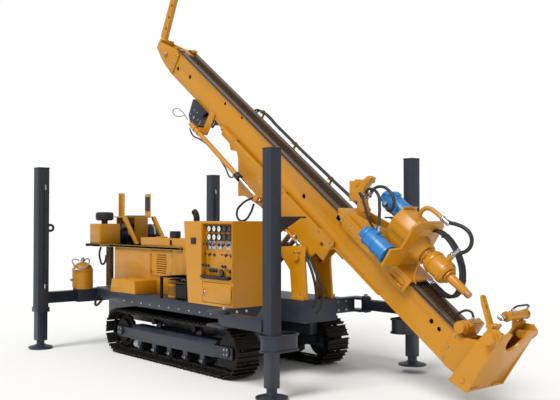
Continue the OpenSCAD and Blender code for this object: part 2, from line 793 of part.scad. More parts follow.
// Holes in the mast side: [height, depth, radius]
MAST_HOLES = [
    [5050, 120, 26], [4760, 160, 26], [3960, 250, 20], [3600, 275, 18],
    [2260, 150, 26], [320, 200, 22], [220, 200, 20]
];
module mast_beam() {
    hw = mast_w / 2;
    color(yellow) difference() {
        box(0, mast_d, -hw, hw, 0, mast_l);
        box(mast_wall, mast_d - mast_wall, -hw + mast_wall, hw - mast_wall, mast_wall, mast_l - mast_wall);
        for (hole = MAST_HOLES) y_bar(hole[1], hole[0], hole[2], -hw - 1, -hw + mast_wall + 1);
    }
    // Guide rails of the drill head
    color(grease) for (side = [LEFT, RIGHT]) on_side(side)
        box(mast_d, mast_d + rail_t, -rail_hw, -55, 90, mast_l - 20);
}

chain_pitch = 100;
chain_s0 = 140;
module feed_chain() {
    links = floor((mast_l - 2 * chain_s0) / chain_pitch);
    color(grease) translate([0, 22, 0]) rotate([90, 0, 0]) linear_extrude(44) union() {
        translate([mast_d, chain_s0]) square([15, links * chain_pitch]);
        for (i = [0 : links - 1])
            translate([mast_d + 3, chain_s0 + (i + 0.2) * chain_pitch]) square([20, 0.6 * chain_pitch]);
    }
}

head_top = 420;
jib_t = 190;
jib_pin_r = 30;
module mast_head() {
    hw = mast_w / 2;
    color(yellow) {
        for (side = [LEFT, RIGHT]) on_side(side) {
            xz_plate([
                [0, mast_l - 250], [260, mast_l - 250], [mast_d, mast_l], [250, mast_l + head_top],
                [90, mast_l + head_top], [0, mast_l + 160], [0, mast_l]
            ], -hw - 16, -hw);
        }
        box(0, mast_d, -hw, hw, mast_l, mast_l + 12);
        // Sheave of the winch rope
        y_bar(150, mast_l + 170, 38, -hw - 30, hw + 30);
        y_bar(150, mast_l + 170, 110, -24, 24);
    }
    // Seat and pin of the jib
    color(yellow) {
        box(100, 250, -hw, hw, mast_l + head_top - 24, mast_l + head_top);
        translate([jib_t, 0, mast_l + head_top]) cylinder(r = jib_pin_r, h = 90);
    }
}

jib_s = mast_l + head_top + run_gap;
module jib_arm() {
    color(yellow) translate([0, 0, jib_s]) {
        difference() {
            union() {
                translate([jib_t, 0, 0]) cylinder(r = 60, h = 70);
                translate([jib_t, 0, 0]) rotate([0, -10, 0]) translate([0, 0, 12])
                xz_plate([[40, 0], [jib_l, 0], [jib_l, 60], [560, 95], [60, 110], [40, 60]], -25, 25);
            }
            translate([jib_t, 0, -1]) cylinder(r = jib_pin_r + run_gap, h = 140);
            translate([jib_t, 0, 0]) rotate([0, -10, 0])
            for (x = [180, 330, 480, jib_l - 60]) y_bar(x, 45, 20, -30, 30);
        }
    }
}

winch_s = mast_l - 850;
winch_t = -165;
winch_hw = 130;
winch_plate = 14;
module winch_frame() {
    color(yellow) {
        box(-14, 0, -winch_hw, winch_hw, winch_s - 190, winch_s + 190);
        for (side = [LEFT, RIGHT]) on_side(side) difference() {
            xz_plate([
                [-14, winch_s - 190], [-14, winch_s + 190], [-240, winch_s + 160],
                [-300, winch_s + 40], [-260, winch_s - 90]
            ], -winch_hw, -winch_hw + winch_plate);
            y_bar(winch_t, winch_s, 20.5, -winch_hw - 1, 0);
        }
    }
    color(navy) {
        box(-306, -294, -winch_hw, winch_hw, winch_s - 60, winch_s + 60);
        y_bar(winch_t, winch_s, 70, winch_hw, winch_hw + 110);
    }
}

module winch_drum() {
    color(steel) {
        y_bar(winch_t, winch_s, drum_r, -100, 100);
        for (y = [-108, 98]) y_bar(winch_t, winch_s, drum_r + 40, y, y + 10);
        y_bar(winch_t, winch_s, 20, -winch_hw - 6, winch_hw - 2);
    }
}

table_y0 = 236;
table_y1 = 256;
table_bore_r = 110;
TABLE_SIDE = [
    [-60, 0], [40, -190], [140, -470], [260, -470], [700, -330], [720, -200], [380, 0], [330, 30], [0, 30]
];
module foot_table() {
    color(yellow) {
        for (side = [LEFT, RIGHT]) on_side(side) xz_plate(TABLE_SIDE, -table_y1, -table_y0);
        // Plate under the mast foot
        box(-40, 360, -table_y0, table_y0, -20, 0);
        box(30, 50, -table_y0, table_y0, -200, -20);
        // Two tables with the opening for the drill pipes
        for (s = [-240, -420]) difference() {
            box(200, 690 + s / 6, -table_y0, table_y0, s, s + 22);
            translate([drill_axis, 0, s - 1]) cylinder(r = table_bore_r, h = 24);
            box(drill_axis, 720, -table_bore_r, table_bore_r, s - 1, s + 23);
        }
        // Upright fork
        for (y = [-60, 30]) box(690, 715, y, y + 30, -230, 10);
        box(672, 690, -130, 100, -218, -190);
    }
}

module clamp_cylinders() {
    color(yellow) for (side = [LEFT, RIGHT]) on_side(side) {
        y_bar(drill_axis, -330, 55, -table_y1 - 90, -table_y1);
        y_bar(drill_axis, -330, 30, -table_y0, -130);
    }
}

module feed_motor() {
    color(yellow) {
        box(mast_d, mast_d + 120, -70, 110, 0, 70);
        y_bar(mast_d + 60, 50 + run_gap, 50, -150, -70);
    }
}

sledge_t0 = 355;
sledge_t1 = 378;
sledge_hw = 158;
lip = run_gap;
module head_sledge() {
    color(yellow) {
        box(sledge_t0, sledge_t1, -sledge_hw, sledge_hw, 760, 1740);
        for (side = [LEFT, RIGHT]) on_side(side) for (s = [780, 1520]) {
            box(mast_d - 50, sledge_t0, -sledge_hw, -rail_hw - lip, s, s + 200);
            box(mast_d - 50, mast_d - lip, -sledge_hw, -mast_w / 2 - lip, s, s + 200);
            box(mast_d + rail_t + lip, sledge_t0, -rail_hw - lip, -60, s, s + 200);
        }
        // Webs that carry the gearbox and the hose bracket
        for (y = [-130, 110]) xz_plate([
            [sledge_t1, 1150], [sledge_t1, 1700], [480, 1700], [560, 1300], [560, 1150]
        ], y, y + 20);
        box(470, 490, -110, 110, 1500, 1700);
        xz_plate([
            [480, 1500], [560, 1560], [600, 1700], [560, 1800], [660, 1870], [780, 1780],
            [760, 1680], [700, 1730], [640, 1600], [560, 1450]
        ], -30, 30);
    }
}

housing_s0 = 500;
housing_s1 = 850;
gearbox_s1 = 1150;
spindle_gap = 6;
shaft_r = 50;
shaft_in = 120;
module head_gearbox() {
    color(yellow) {
        translate([0, 0, housing_s1]) linear_extrude(gearbox_s1 - housing_s1) polygon([
            [sledge_t1, -200], [sledge_t1, 180], [760, 180], [850, 100], [850, -100], [760, -200]
        ]);
        difference() {
            union() {
                on_drill_axis(housing_s0) cylinder(r = 130, h = housing_s1 - housing_s0);
                on_drill_axis(housing_s0 + 260) cylinder(r = 160, h = 90);
            }
            on_drill_axis(housing_s0 - 1) cylinder(r = shaft_r + run_gap, h = shaft_in + 1 + spindle_gap);
        }
        // Top plate and side flange
        box(700, 880, -220, 200, gearbox_s1 - 120, gearbox_s1 - 100);
    }
}

// Motors: [depth, y, lower end, length, radius]
MOTORS = [[720, 20, 1150, 300, 88], [470, -290, 900, 340, 84]];
module head_motors() {
    color(blue) for (motor = MOTORS) translate([motor[0], motor[1], motor[2]]) {
        cylinder(r = motor[4], h = motor[3] - 60);
        translate([0, 0, motor[3] - 60]) cylinder(r = motor[4] - 22, h = 60);
    }
    color(yellow) box(400, 540, -300, -200, 880, 900);
}

// Swivel hose: route points by hand, [depth, y, height]
HOSE_ROUTE = [
    [900, 0, 960], [960, 10, 880], [1010, 20, 760], [1050, 25, 620], [1060, 25, 500],
    [1020, 20, 400], [940, 10, 370], [860, 0, 420], [790, 0, 490], [735, 0, 545]
];
hose_r = 34;
hose_sides = 10;
function unit(v) = v / norm(v);
function direction(route, i) = unit(
    route[min(i + 1, len(route) - 1)] - route[max(i - 1, 0)]);
// One ring of the tube about a route point
function ring(route, i, r) =
    let (d = direction(route, i), side = unit(cross([0, 1, 0], d)), up = cross(d, side))
    [for (k = [0 : hose_sides - 1])
        route[i] + r * (cos(k * 360 / hose_sides) * side + sin(k * 360 / hose_sides) * up)];
module swept_tube(route, r) {
    rings = len(route);
    polyhedron(
        points = [for (i = [0 : rings - 1]) each ring(route, i, r)],
        faces = concat(
            [[for (k = [0 : hose_sides - 1]) k]],
            [for (i = [0 : rings - 2], k = [0 : hose_sides - 1]) [
                i * hose_sides + k, (i + 1) * hose_sides + k,
                (i + 1) * hose_sides + (k + 1) % hose_sides, i * hose_sides + (k + 1) % hose_sides]],
            [[for (k = [hose_sides - 1 : -1 : 0]) (rings - 1) * hose_sides + k]]
        )
    );
}
module swivel_hose() { color(black) swept_tube(HOSE_ROUTE, hose_r); }

nose_r = 40;
nose_l = 50;
module spindle() {
    color(yellow) on_drill_axis(0) rotate_extrude() polygon([
        [0, 190], [nose_r, 190], [nose_r, 190 + nose_l], [62, 200 + nose_l], [62, 420], [80, 430],
        [80, housing_s0 - spindle_gap], [shaft_r, housing_s0 - spindle_gap],
        [shaft_r, housing_s0 + shaft_in], [0, housing_s0 + shaft_in]
    ]);
}

placed() on_side(LEFT) track();  // track_left
placed() on_side(RIGHT) track();  // track_right
placed() on_side(LEFT) track_frame();  // track_frame_left
placed() on_side(RIGHT) track_frame();  // track_frame_right
placed() on_side(LEFT) track_wheels();  // track_wheels_left
placed() on_side(RIGHT) track_wheels();  // track_wheels_right
placed() chassis_frame();
placed() deck();
placed() rear_sleeve();
placed() on_side(LEFT) front_leg(FRONT_LEFT_LEG);  // leg_front_left
placed() on_side(RIGHT) front_leg(FRONT_RIGHT_LEG);  // leg_front_right
placed() on_side(LEFT) rear_leg(REAR_LEFT_LEG);  // leg_rear_left
placed() on_side(RIGHT) rear_leg(REAR_RIGHT_LEG);  // leg_rear_right
placed() on_side(LEFT) jack(FRONT_LEFT_LEG);  // jack_front_left
placed() on_side(RIGHT) jack(FRONT_RIGHT_LEG);  // jack_front_right
placed() on_side(LEFT) jack(REAR_LEFT_LEG);  // jack_rear_left
placed() on_side(RIGHT) jack(REAR_RIGHT_LEG);  // jack_rear_right
placed() console_housing();
placed() console_panel();
placed() console_door();
placed() hood_body();
placed() hood_door();
placed() hood_roof();
placed() hydraulic_tank();
placed() engine_block();
placed() air_cleaner();
placed() intake_box();
placed() exhaust_pipe();
placed() mast_cradle();
placed() step_box();
placed() battery_shelf();
placed() lubricator_tank();
placed() support_ears();
placed() lift_barrels();
placed() lift_rods();
placed() on_mast() mast_carriage();
placed() on_mast() slide_rod();
placed() on_mast() mast_beam();
placed() on_mast() feed_chain();
placed() on_mast() mast_head();
placed() on_mast() jib_arm();
placed() on_mast() slide_barrel();
placed() on_mast() winch_frame();
placed() on_mast() winch_drum();
placed() on_mast() foot_table();
placed() on_mast() clamp_cylinders();
placed() on_mast() feed_motor();
placed() on_mast() head_sledge();
placed() on_mast() head_gearbox();
placed() on_mast() head_motors();
placed() on_mast() swivel_hose();
placed() on_mast() spindle();
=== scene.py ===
"""Crawler drilling rig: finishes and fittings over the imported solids. Metres, +X to the drill."""
import math

import bpy
from mathutils import Matrix, Vector
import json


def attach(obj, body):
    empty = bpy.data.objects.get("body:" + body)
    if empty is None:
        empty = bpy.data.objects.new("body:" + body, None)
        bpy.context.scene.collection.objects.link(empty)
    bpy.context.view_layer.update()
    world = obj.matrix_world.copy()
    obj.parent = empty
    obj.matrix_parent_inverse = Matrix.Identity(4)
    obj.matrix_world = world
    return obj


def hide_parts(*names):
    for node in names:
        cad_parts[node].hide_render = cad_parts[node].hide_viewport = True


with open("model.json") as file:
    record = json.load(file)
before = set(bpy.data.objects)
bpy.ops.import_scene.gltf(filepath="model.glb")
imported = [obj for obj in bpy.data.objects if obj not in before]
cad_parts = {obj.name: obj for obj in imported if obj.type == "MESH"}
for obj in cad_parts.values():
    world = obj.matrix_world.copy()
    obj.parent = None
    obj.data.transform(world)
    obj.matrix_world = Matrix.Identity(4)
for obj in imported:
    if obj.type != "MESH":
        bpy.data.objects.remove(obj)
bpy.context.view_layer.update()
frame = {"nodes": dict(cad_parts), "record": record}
nodes = frame["nodes"]
BODY_OF = {node: body for body, group in frame["record"]["behaviour"]["bodies"].items()
           for node in group}

# The photograph's stand: a pale floor that takes a soft shadow, daylight from a broad sun over
# the viewer's left shoulder, and the camera at eye height off the front right corner.
EYE = (6.449, -5.518, 1.6)
EYE_TURN, EYE_RISE = math.radians(48.979), math.radians(1.319)
camera = bpy.data.objects.new("eye", bpy.data.cameras.new("eye"))
bpy.context.scene.collection.objects.link(camera)
look = Vector((-math.sin(EYE_TURN) * math.cos(EYE_RISE),
               math.cos(EYE_TURN) * math.cos(EYE_RISE), math.sin(EYE_RISE)))
camera.location = EYE
camera.rotation_euler = look.to_track_quat("-Z", "Y").to_euler()
camera.data.sensor_width = 36
camera.data.lens = 792.861 / 560 * 36
bpy.context.scene.camera = camera
bpy.context.scene.view_settings.view_transform = "Standard"


def linear(code):
    """Linear colour of an sRGB hex code"""
    parts = [int(code[i:i + 2], 16) / 255 for i in (1, 3, 5)]
    return [p / 12.92 if p <= 0.04045 else ((p + 0.055) / 1.055) ** 2.4 for p in parts] + [1]


def add(tree, kind, inputs=None, **settings):
    """One node with its settings; an input is a value or the socket that is linked to it"""
    made = tree.nodes.new("ShaderNode" + kind)
    for key, value in settings.items():
        setattr(made, key, value)
    for socket, value in (inputs or {}).items():
        if isinstance(value, bpy.types.NodeSocket):
            tree.links.new(value, made.inputs[socket])
        else:
            made.inputs[socket].default_value = value
    return made


def new_material(name, slot):
    """An empty material, the name of its slot in the record, and its output"""
    made = bpy.data.materials.new(name)
    made.use_nodes = True
    made.node_tree.nodes.clear()
    made["slot"] = slot
    return made, made.node_tree, add(made.node_tree, "OutputMaterial")


SUN_TURN, SUN_HEIGHT = math.radians(-18), math.radians(52)
sun = bpy.data.objects.new("daylight", bpy.data.lights.new("daylight", "SUN"))
sun.data.energy = 2.15
sun.data.angle = math.radians(24)
sun_from = Vector((math.sin(SUN_TURN) * math.cos(SUN_HEIGHT) + 0.25,
                   -math.cos(SUN_TURN) * math.cos(SUN_HEIGHT), math.sin(SUN_HEIGHT)))
sun.rotation_euler = (-sun_from).to_track_quat("-Z", "Y").to_euler()
bpy.context.scene.collection.objects.link(sun)

world = bpy.data.worlds.new("overcast_sky")
world.use_nodes = True
world.node_tree.nodes.clear()
sky = world.node_tree
path = add(sky, "LightPath")
seen = add(sky, "Math", {0: path.outputs["Is Camera Ray"], 1: path.outputs["Is Transmission Ray"]},
           operation="MAXIMUM")
strength = add(sky, "MapRange", {0: seen.outputs[0], 3: 0.58, 4: 1.0})
glow = add(sky, "Background", {"Color": (1, 1, 1, 1), "Strength": strength.outputs[0]})
add(sky, "OutputWorld", {"Surface": glow.outputs[0]})
bpy.context.scene.world = world

bpy.ops.mesh.primitive_plane_add(size=60, location=(0, 0, 0))
floor = bpy.context.object
floor.name = "pale_floor"
paper, tree, out = new_material("pale_floor_paper", "")
sheen = add(tree, "BsdfDiffuse", {"Color": linear("#F4F4F2")})
tree.links.new(sheen.outputs[0], out.inputs[0])
floor.data.materials.append(paper)


# Track frames: welded box beams of steel plate with an idler fork and roller bearings, under
# sprayed navy machine enamel. Sheared and flame-cut edges are broken by a few millimetres, and
# the axle ends are held by bolted keeper plates.
def enamel(name, slot, colour, shade, dust, rough=0.38, dusty=0.35, coat=0.15):
    """Sprayed two-pack machine enamel: soft gloss, a slow drift of tone, and dust on ledges"""
    made, tree, out = new_material(name, slot)
    place = add(tree, "TexCoord").outputs["Object"]
    # Tone drifts over 0.6 m, dust gathers in 80 mm patches, waves of sheet are 150 mm long
    drift = add(tree, "TexNoise", {"Vector": place, "Scale": 1 / 0.6, "Detail": 3.0})
    patch = add(tree, "TexNoise", {"Vector": place, "Scale": 1 / 0.08, "Detail": 5.0,
                                   "Roughness": 0.62})
    wave = add(tree, "TexNoise", {"Vector": place, "Scale": 1 / 0.15, "Detail": 1.0})
    tone = add(tree, "Mix", {0: drift.outputs[0], 6: linear(colour), 7: linear(shade)},
               data_type="RGBA")
    facing = add(tree, "SeparateXYZ", {0: add(tree, "NewGeometry").outputs["Normal"]})
    ledge = add(tree, "MapRange", {0: facing.outputs[2], 1: 0.35, 2: 0.95, 3: 0.10, 4: 1.0})
    grain = add(tree, "MapRange", {0: patch.outputs[0], 1: 0.46, 2: 0.70, 3: 0.0, 4: dusty})
    cover = add(tree, "Math", {0: ledge.outputs[0], 1: grain.outputs[0]}, operation="MULTIPLY")
    film = add(tree, "Mix", {0: cover.outputs[0], 6: tone.outputs[2], 7: linear(dust)},
               data_type="RGBA")
    gloss = add(tree, "MapRange", {0: cover.outputs[0], 3: rough, 4: 0.85})
    bump = add(tree, "Bump", {"Height": wave.outputs[0], "Strength": 0.10, "Distance": 0.01})
    skin = add(tree, "BsdfPrincipled", {
        "Base Color": film.outputs[2], "Roughness": gloss.outputs[0], "IOR": 1.5,
        "Coat Weight": coat, "Coat Roughness": 0.2, "Normal": bump.outputs[0]})
    tree.links.new(skin.outputs[0], out.inputs[0])
    return made


def metal(name, slot, colour, shade, rough, grain_mm, metallic=1.0, rise=0.05):
    """Metal whose tone and roughness shift with its grain or its film of grease"""
    made, tree, out = new_material(name, slot)
    place = add(tree, "TexCoord").outputs["Object"]
    cloud = add(tree, "TexNoise", {"Vector": place, "Scale": 1000 / grain_mm, "Detail": 4.0})
    spread = add(tree, "MapRange", {0: cloud.outputs[0], 1: 0.35, 2: 0.65})
    tone = add(tree, "Mix", {0: spread.outputs[0], 6: linear(colour), 7: linear(shade)},
               data_type="RGBA")
    gloss = add(tree, "MapRange", {0: spread.outputs[0], 3: rough * 0.8, 4: rough * 1.3})
    bump = add(tree, "Bump", {"Height": cloud.outputs[0], "Strength": rise, "Distance": 0.004})
    skin = add(tree, "BsdfPrincipled", {
        "Base Color": tone.outputs[2], "Roughness": gloss.outputs[0], "Metallic": metallic,
        "Normal": bump.outputs[0]})
    tree.links.new(skin.outputs[0], out.inputs[0])
    return made


yellow = enamel("yellow_enamel_on_steel", "yellow_paint", "#CC8B06", "#BF7F04", "#9A8050", 0.36,
                0.3)
navy = enamel("navy_enamel_on_steel", "navy_paint", "#252C3A", "#1D232E", "#6A665D", 0.42, 0.28,
              0.08)
black = enamel("black_enamel_on_steel", "black_paint", "#211F1C", "#181715", "#5C564C", 0.5, 0.4,
               0.0)
zinc = metal("zinc_plated_steel", "bright_steel", "#C6C9CC", "#9DA2A8", 0.30, 12)


def select_only(*pieces):
    """Those pieces alone are selected, the first is active"""
    bpy.ops.object.select_all(action="DESELECT")
    for piece in pieces:
        piece.select_set(True)
    bpy.context.view_layer.objects.active = pieces[0]


def joined(pieces):
    """Several pieces welded into one object"""
    select_only(*pieces)
    if len(pieces) > 1:
        bpy.ops.object.join()
    return bpy.context.object


# Pieces are drawn in millimetres about the middle of the tracks, as the solids are
RIG = Matrix.Translation((-0.93, 0, 0))
SMOOTH_ANGLE = math.radians(35)


def settle(piece, name, finish, body, place=RIG):
    """Puts a finished piece, or a list welded into one, in its place and lets it ride on its body"""
    if isinstance(piece, list):
        piece = joined(piece)
    piece.matrix_basis = place @ piece.matrix_basis
    select_only(piece)
    piece.name = piece.data.name = name
    piece.data.materials.clear()
    piece.data.materials.append(finish)
    bpy.ops.object.transform_apply()
    bpy.ops.object.shade_smooth_by_angle(angle=SMOOTH_ANGLE)
    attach(piece, body)
    return piece


def broken(piece, edge, segments=2):
    """Breaks the sharp edges of a piece by a bevel, in millimetres"""
    select_only(piece)
    bevel = piece.modifiers.new("broken_edge", "BEVEL")
    bevel.width, bevel.segments, bevel.limit_method = edge / 1000, segments, "ANGLE"
    bpy.ops.object.modifier_apply(modifier=bevel.name)
    return piece


def block(x, y, z, edge=3):
    """A plate or block between pairs of x, y and z, with broken edges"""
    bpy.ops.object.select_all(action="DESELECT")
    middle = [(pair[0] + pair[1]) / 2000 for pair in (x, y, z)]
    bpy.ops.mesh.primitive_cube_add(size=1, location=middle)
    piece = bpy.context.object
    piece.scale = [abs(pair[1] - pair[0]) / 1000 for pair in (x, y, z)]
    bpy.ops.object.transform_apply(location=False)
    return broken(piece, edge) if edge else piece


def rod(start, end, radius, edge=2, sides=28):
    """A round or, with few sides, a hexagon bar from one point to another"""
    start, end = Vector(start) / 1000, Vector(end) / 1000
    bpy.ops.object.select_all(action="DESELECT")
    bpy.ops.mesh.primitive_cylinder_add(
        vertices=sides, radius=radius / 1000, depth=(end - start).length,
        location=(start + end) / 2, rotation=(end - start).to_track_quat("Z", "X").to_euler())
    return broken(bpy.context.object, edge, 1) if edge else bpy.context.object


def bolts(name, places, axis, size, finish, body, place=RIG):
    """Hexagon bolts on washers: one is modelled and copied, with its own mesh, to each place"""
    axis = Vector(axis)
    washer = rod((0, 0, 0), (0, 0, 0.22 * size), 1.15 * size, 0.06 * size, 18)
    head = rod((0, 0, 0.2 * size), (0, 0, 0.95 * size), 0.95 * size, 0.1 * size, 6)
    master = joined([washer, head])
    select_only(master)
    bpy.ops.object.transform_apply()
    turn = axis.to_track_quat("Z", "X").to_matrix().to_4x4()
    copies = []
    for spot in places:
        copy = bpy.data.objects.new("bolt", master.data.copy())
        bpy.context.scene.collection.objects.link(copy)
        copy.matrix_basis = Matrix.Translation(Vector(spot) / 1000) @ turn
        copies.append(copy)
    bpy.data.objects.remove(master)
    return settle(copies, name, finish, body, place)


def shell_middle(piece):
    """Middle of a piece's box"""
    return sum((Vector(corner) for corner in piece.bound_box), Vector()) / 8


def bored(piece, *tools):
    """Takes tools away from a piece, as a drill or a flame cutter does"""
    for tool in tools:
        select_only(piece)
        cut = piece.modifiers.new("cut", "BOOLEAN")
        cut.operation, cut.object = "DIFFERENCE", tool
        bpy.ops.object.modifier_apply(modifier=cut.name)
        bpy.data.objects.remove(tool)
    return piece


def dressed(node, finish, edge=4, choose=None, tool=None):
    """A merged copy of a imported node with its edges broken; choose gives a shell its finish"""
    copy = bpy.data.objects.new(node + "_copy", nodes[node].data.copy())
    bpy.context.scene.collection.objects.link(copy)
    select_only(copy)
    bpy.ops.object.mode_set(mode="EDIT")
    bpy.ops.mesh.select_all(action="SELECT")
    bpy.ops.mesh.remove_doubles(threshold=0.0002)
    bpy.ops.mesh.dissolve_limited(angle_limit=math.radians(0.5))
    if choose:
        bpy.ops.mesh.separate(type="LOOSE")
    bpy.ops.object.mode_set(mode="OBJECT")
    if tool:
        bored(copy, tool)
        select_only(copy)
    groups = {}
    for shell in list(bpy.context.selected_objects):
        groups.setdefault(choose(shell_middle(shell)) if choose else finish, []).append(shell)
    for kind, shells in groups.items():
        whole = broken(joined(shells), edge)
        settle(whole, node + "_" + kind.name.split("_")[0], kind, BODY_OF[node], Matrix())
        if kind is finish:
            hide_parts(node)


def finished(node, finish):
    """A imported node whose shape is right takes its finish"""
    for slot in nodes[node].material_slots:
        slot.material = finish


SIDES = {"left": 1, "right": -1}
TRACK_Y, FRAME_FACE, ROLLER_Z, WHEEL_X, WHEEL_Z = 625, 85, 119, 1043, 263.5
ROLLER_XS = (-620, -310, 0, 310, 620)
for side, sign in SIDES.items():
    dressed("track_frame_" + side, navy)
    face = sign * (TRACK_Y + FRAME_FACE)
    caps = [rod((x, face + sign * 3, ROLLER_Z), (x, face + sign * 12, ROLLER_Z), 26)
            for x in ROLLER_XS]
    caps += [rod((x, face + sign * 3, WHEEL_Z), (x, face + sign * 16, WHEEL_Z), 52)
             for x in (-WHEEL_X, WHEEL_X)]
    settle(caps, "axle_caps_" + side, navy, "chassis")
    spots = [(x + dx, face + sign * 12, ROLLER_Z) for x in ROLLER_XS for dx in (-15, 15)]
    spots += [(x + 34 * math.cos(a), face + sign * 16, WHEEL_Z + 34 * math.sin(a))
              for x in (-WHEEL_X, WHEEL_X) for a in (0.8, 2.35, 3.9, 5.5)]
    bolts("axle_bolts_" + side, spots, (0, sign, 0), 8, zinc, "chassis")

# Track shoes, idlers, sprockets and rollers: cast and forged steel, unpainted, dark with earth
# in the corners. A shoe is a rolled plate with three bars, bolted to a pair of chain links; one is
# modelled and 42 copies of it run round the loop.
track_iron = metal("cast_track_steel", "track_steel", "#171615", "#2A2521", 0.55, 45, 0.6, 0.25)
SHOES, SHOE_R, SHOE_L, STRAIGHT = 42, 229.5, 119.7, 2087
PITCH = (2 * STRAIGHT + math.tau * SHOE_R) / SHOES


def on_loop(run):
    """Place of a shoe that has run so many millimetres round the track's loop"""
    bend = math.pi * SHOE_R
    lap, run = divmod(run, STRAIGHT + bend)
    turn = math.pi * lap + max(0, run - STRAIGHT) / SHOE_R
    along = (1 - 2 * lap) * (min(run, STRAIGHT) - STRAIGHT / 2)
    return Matrix.Translation((along / 1000, 0, WHEEL_Z / 1000)) @ Matrix.Rotation(turn, 4, "Y")


for side, sign in SIDES.items():
    middle = sign * TRACK_Y
    shoe = [block((-SHOE_L / 2, SHOE_L / 2), (middle - 150, middle + 150), (SHOE_R, SHOE_R + 14),
                  1.5)]
    shoe += [block((x, x + 10), (middle - 148, middle + 148), (SHOE_R + 12, SHOE_R + 34), 2)
             for x in (-SHOE_L / 2, -5, SHOE_L / 2 - 10)]
    shoe += [block((-64, 64), (middle + y - 11, middle + y + 11), (SHOE_R - 34, SHOE_R), 3)
             for y in (-42, 42)]
    shoe.append(rod((-64, middle - 60, SHOE_R - 17), (-64, middle + 60, SHOE_R - 17), 13, 1.5, 16))
    shoe = joined(shoe)
    select_only(shoe)
    bpy.ops.object.transform_apply()
    loop = []
    for i in range(SHOES):
        copy = bpy.data.objects.new("shoe", shoe.data.copy())
        bpy.context.scene.collection.objects.link(copy)
        copy.matrix_basis = on_loop((i + 0.5) * PITCH)
        loop.append(copy)
    bpy.data.objects.remove(shoe)
    settle(loop, "track_shoes_" + side, track_iron, "chassis")
    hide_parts("track_" + side)
    finished("track_wheels_" + side, track_iron)


def plate(points, y0, y1, edge=3):
    """A profile-cut plate: its outline in x and z is extruded across y"""
    outline = bpy.data.meshes.new("outline")
    outline.from_pydata([(x / 1000, y0 / 1000, z / 1000) for x, z in points], [],
                        [list(range(len(points)))])
    piece = bpy.data.objects.new("plate", outline)
    bpy.context.scene.collection.objects.link(piece)
    select_only(piece)
    bpy.ops.object.mode_set(mode="EDIT")
    bpy.ops.mesh.select_all(action="SELECT")
    bpy.ops.mesh.extrude_region_move(TRANSFORM_OT_translate={"value": (0, (y1 - y0) / 1000, 0)})
    bpy.ops.mesh.select_all(action="SELECT")
    bpy.ops.mesh.normals_make_consistent(inside=False)
    bpy.ops.object.mode_set(mode="OBJECT")
    return broken(piece, edge) if edge else piece

# Chassis: box rails and cross tubes with a front beam and a rear sleeve for the leg beams, and a
# chequered deck folded from sheet. All is welded, sprayed navy and bolted to the track frames.
for node in ("chassis_frame", "deck", "rear_sleeve"):
    dressed(node, navy)
deck_spots = [(x, -808, 640) for x in range(-800, 1101, 190)]
bolts("deck_bolts_right", deck_spots, (0, -1, 0), 9, zinc, "chassis")
bolts("deck_bolts_left", [(x, -y, z) for x, y, z in deck_spots], (0, 1, 0), 9, zinc, "chassis")
bolts("beam_bolts", [(1266, y, z) for y in (-760, -640, 640, 760) for z in (600, 690)], (1, 0, 0),
      12,
      zinc, "chassis")
SWING_X, SWING_Y = 1360, 980
pins = [rod((SWING_X, y, 722), (SWING_X, y, 738), 46, 3) for y in (-SWING_Y, SWING_Y)]
settle(pins, "leg_pivot_washers", navy, "chassis")
bolts("leg_pivot_nuts", [(SWING_X, y, 738) for y in (-SWING_Y, SWING_Y)], (0, 0, 1), 24, zinc,
      "chassis")

# Jack legs: square tubes of 118 and 140 mm on swing arms and telescoping beams, with a closed top,
# and jack tubes on round feet inside them. Each has its cylinder's two ports on the tube's side.
LEGS = {"front_left": (2029, 960, 59), "front_right": (2029, -960, 59),
        "rear_left": (-1950, 1310, 70), "rear_right": (-1950, -1310, 70)}
for leg, (x, y, half) in LEGS.items():
    inner = -1 if y > 0 else 1
    tool = None
    if x > 0:
        tool = block((x - 80, x + 80), sorted((y + inner * 69.5, y + inner * 400)), (405, 600), 0)
        tool.matrix_basis = RIG @ tool.matrix_basis
    dressed("leg_" + leg, navy, 3, None, tool)
    dressed("jack_" + leg, navy, 3)
    cap = block((x - half - 4, x + half + 4), (y - half - 4, y + half + 4), (2217, 2227), 3)
    settle(cap, "leg_cap_" + leg, navy, "leg_" + leg)
    bolts("leg_cap_bolts_" + leg, [(x + dx * (half - 16), y + dy * (half - 16), 2221)
                                   for dx in (-1, 1) for dy in (-1, 1)], (0, 0, 1), 6, zinc,
                                   "leg_" + leg)


def hose(points, radius, round_steps=3):
    """A hose or bent pipe on a smooth run through its points, in millimetres"""
    run = bpy.data.curves.new("run", "CURVE")
    run.dimensions, run.bevel_depth, run.bevel_resolution = "3D", radius / 1000, round_steps
    run.resolution_u, run.use_fill_caps = 8, True
    line = run.splines.new("BEZIER")
    line.bezier_points.add(len(points) - 1)
    for knot, spot in zip(line.bezier_points, points):
        knot.co = Vector(spot) / 1000
        knot.handle_left_type = knot.handle_right_type = "AUTO"
    piece = bpy.data.objects.new("run", run)
    bpy.context.scene.collection.objects.link(piece)
    select_only(piece)
    bpy.ops.object.convert(target="MESH")
    return bpy.context.object


def fitting(end, toward, radius):
    """A pressed hose end: ferrule on the hose, hexagon nut and collar towards its port"""
    end, toward = Vector(end), Vector(toward).normalized()
    parts = [rod(end - toward * radius * 3.4, end, radius * 1.28, radius * 0.12),
             rod(end, end + toward * radius * 0.5, radius * 0.95, radius * 0.08, 20),
             rod(end + toward * radius * 0.5, end + toward * radius * 1.7, radius * 1.6,
                 radius * 0.15, 6)]
    return joined(parts)


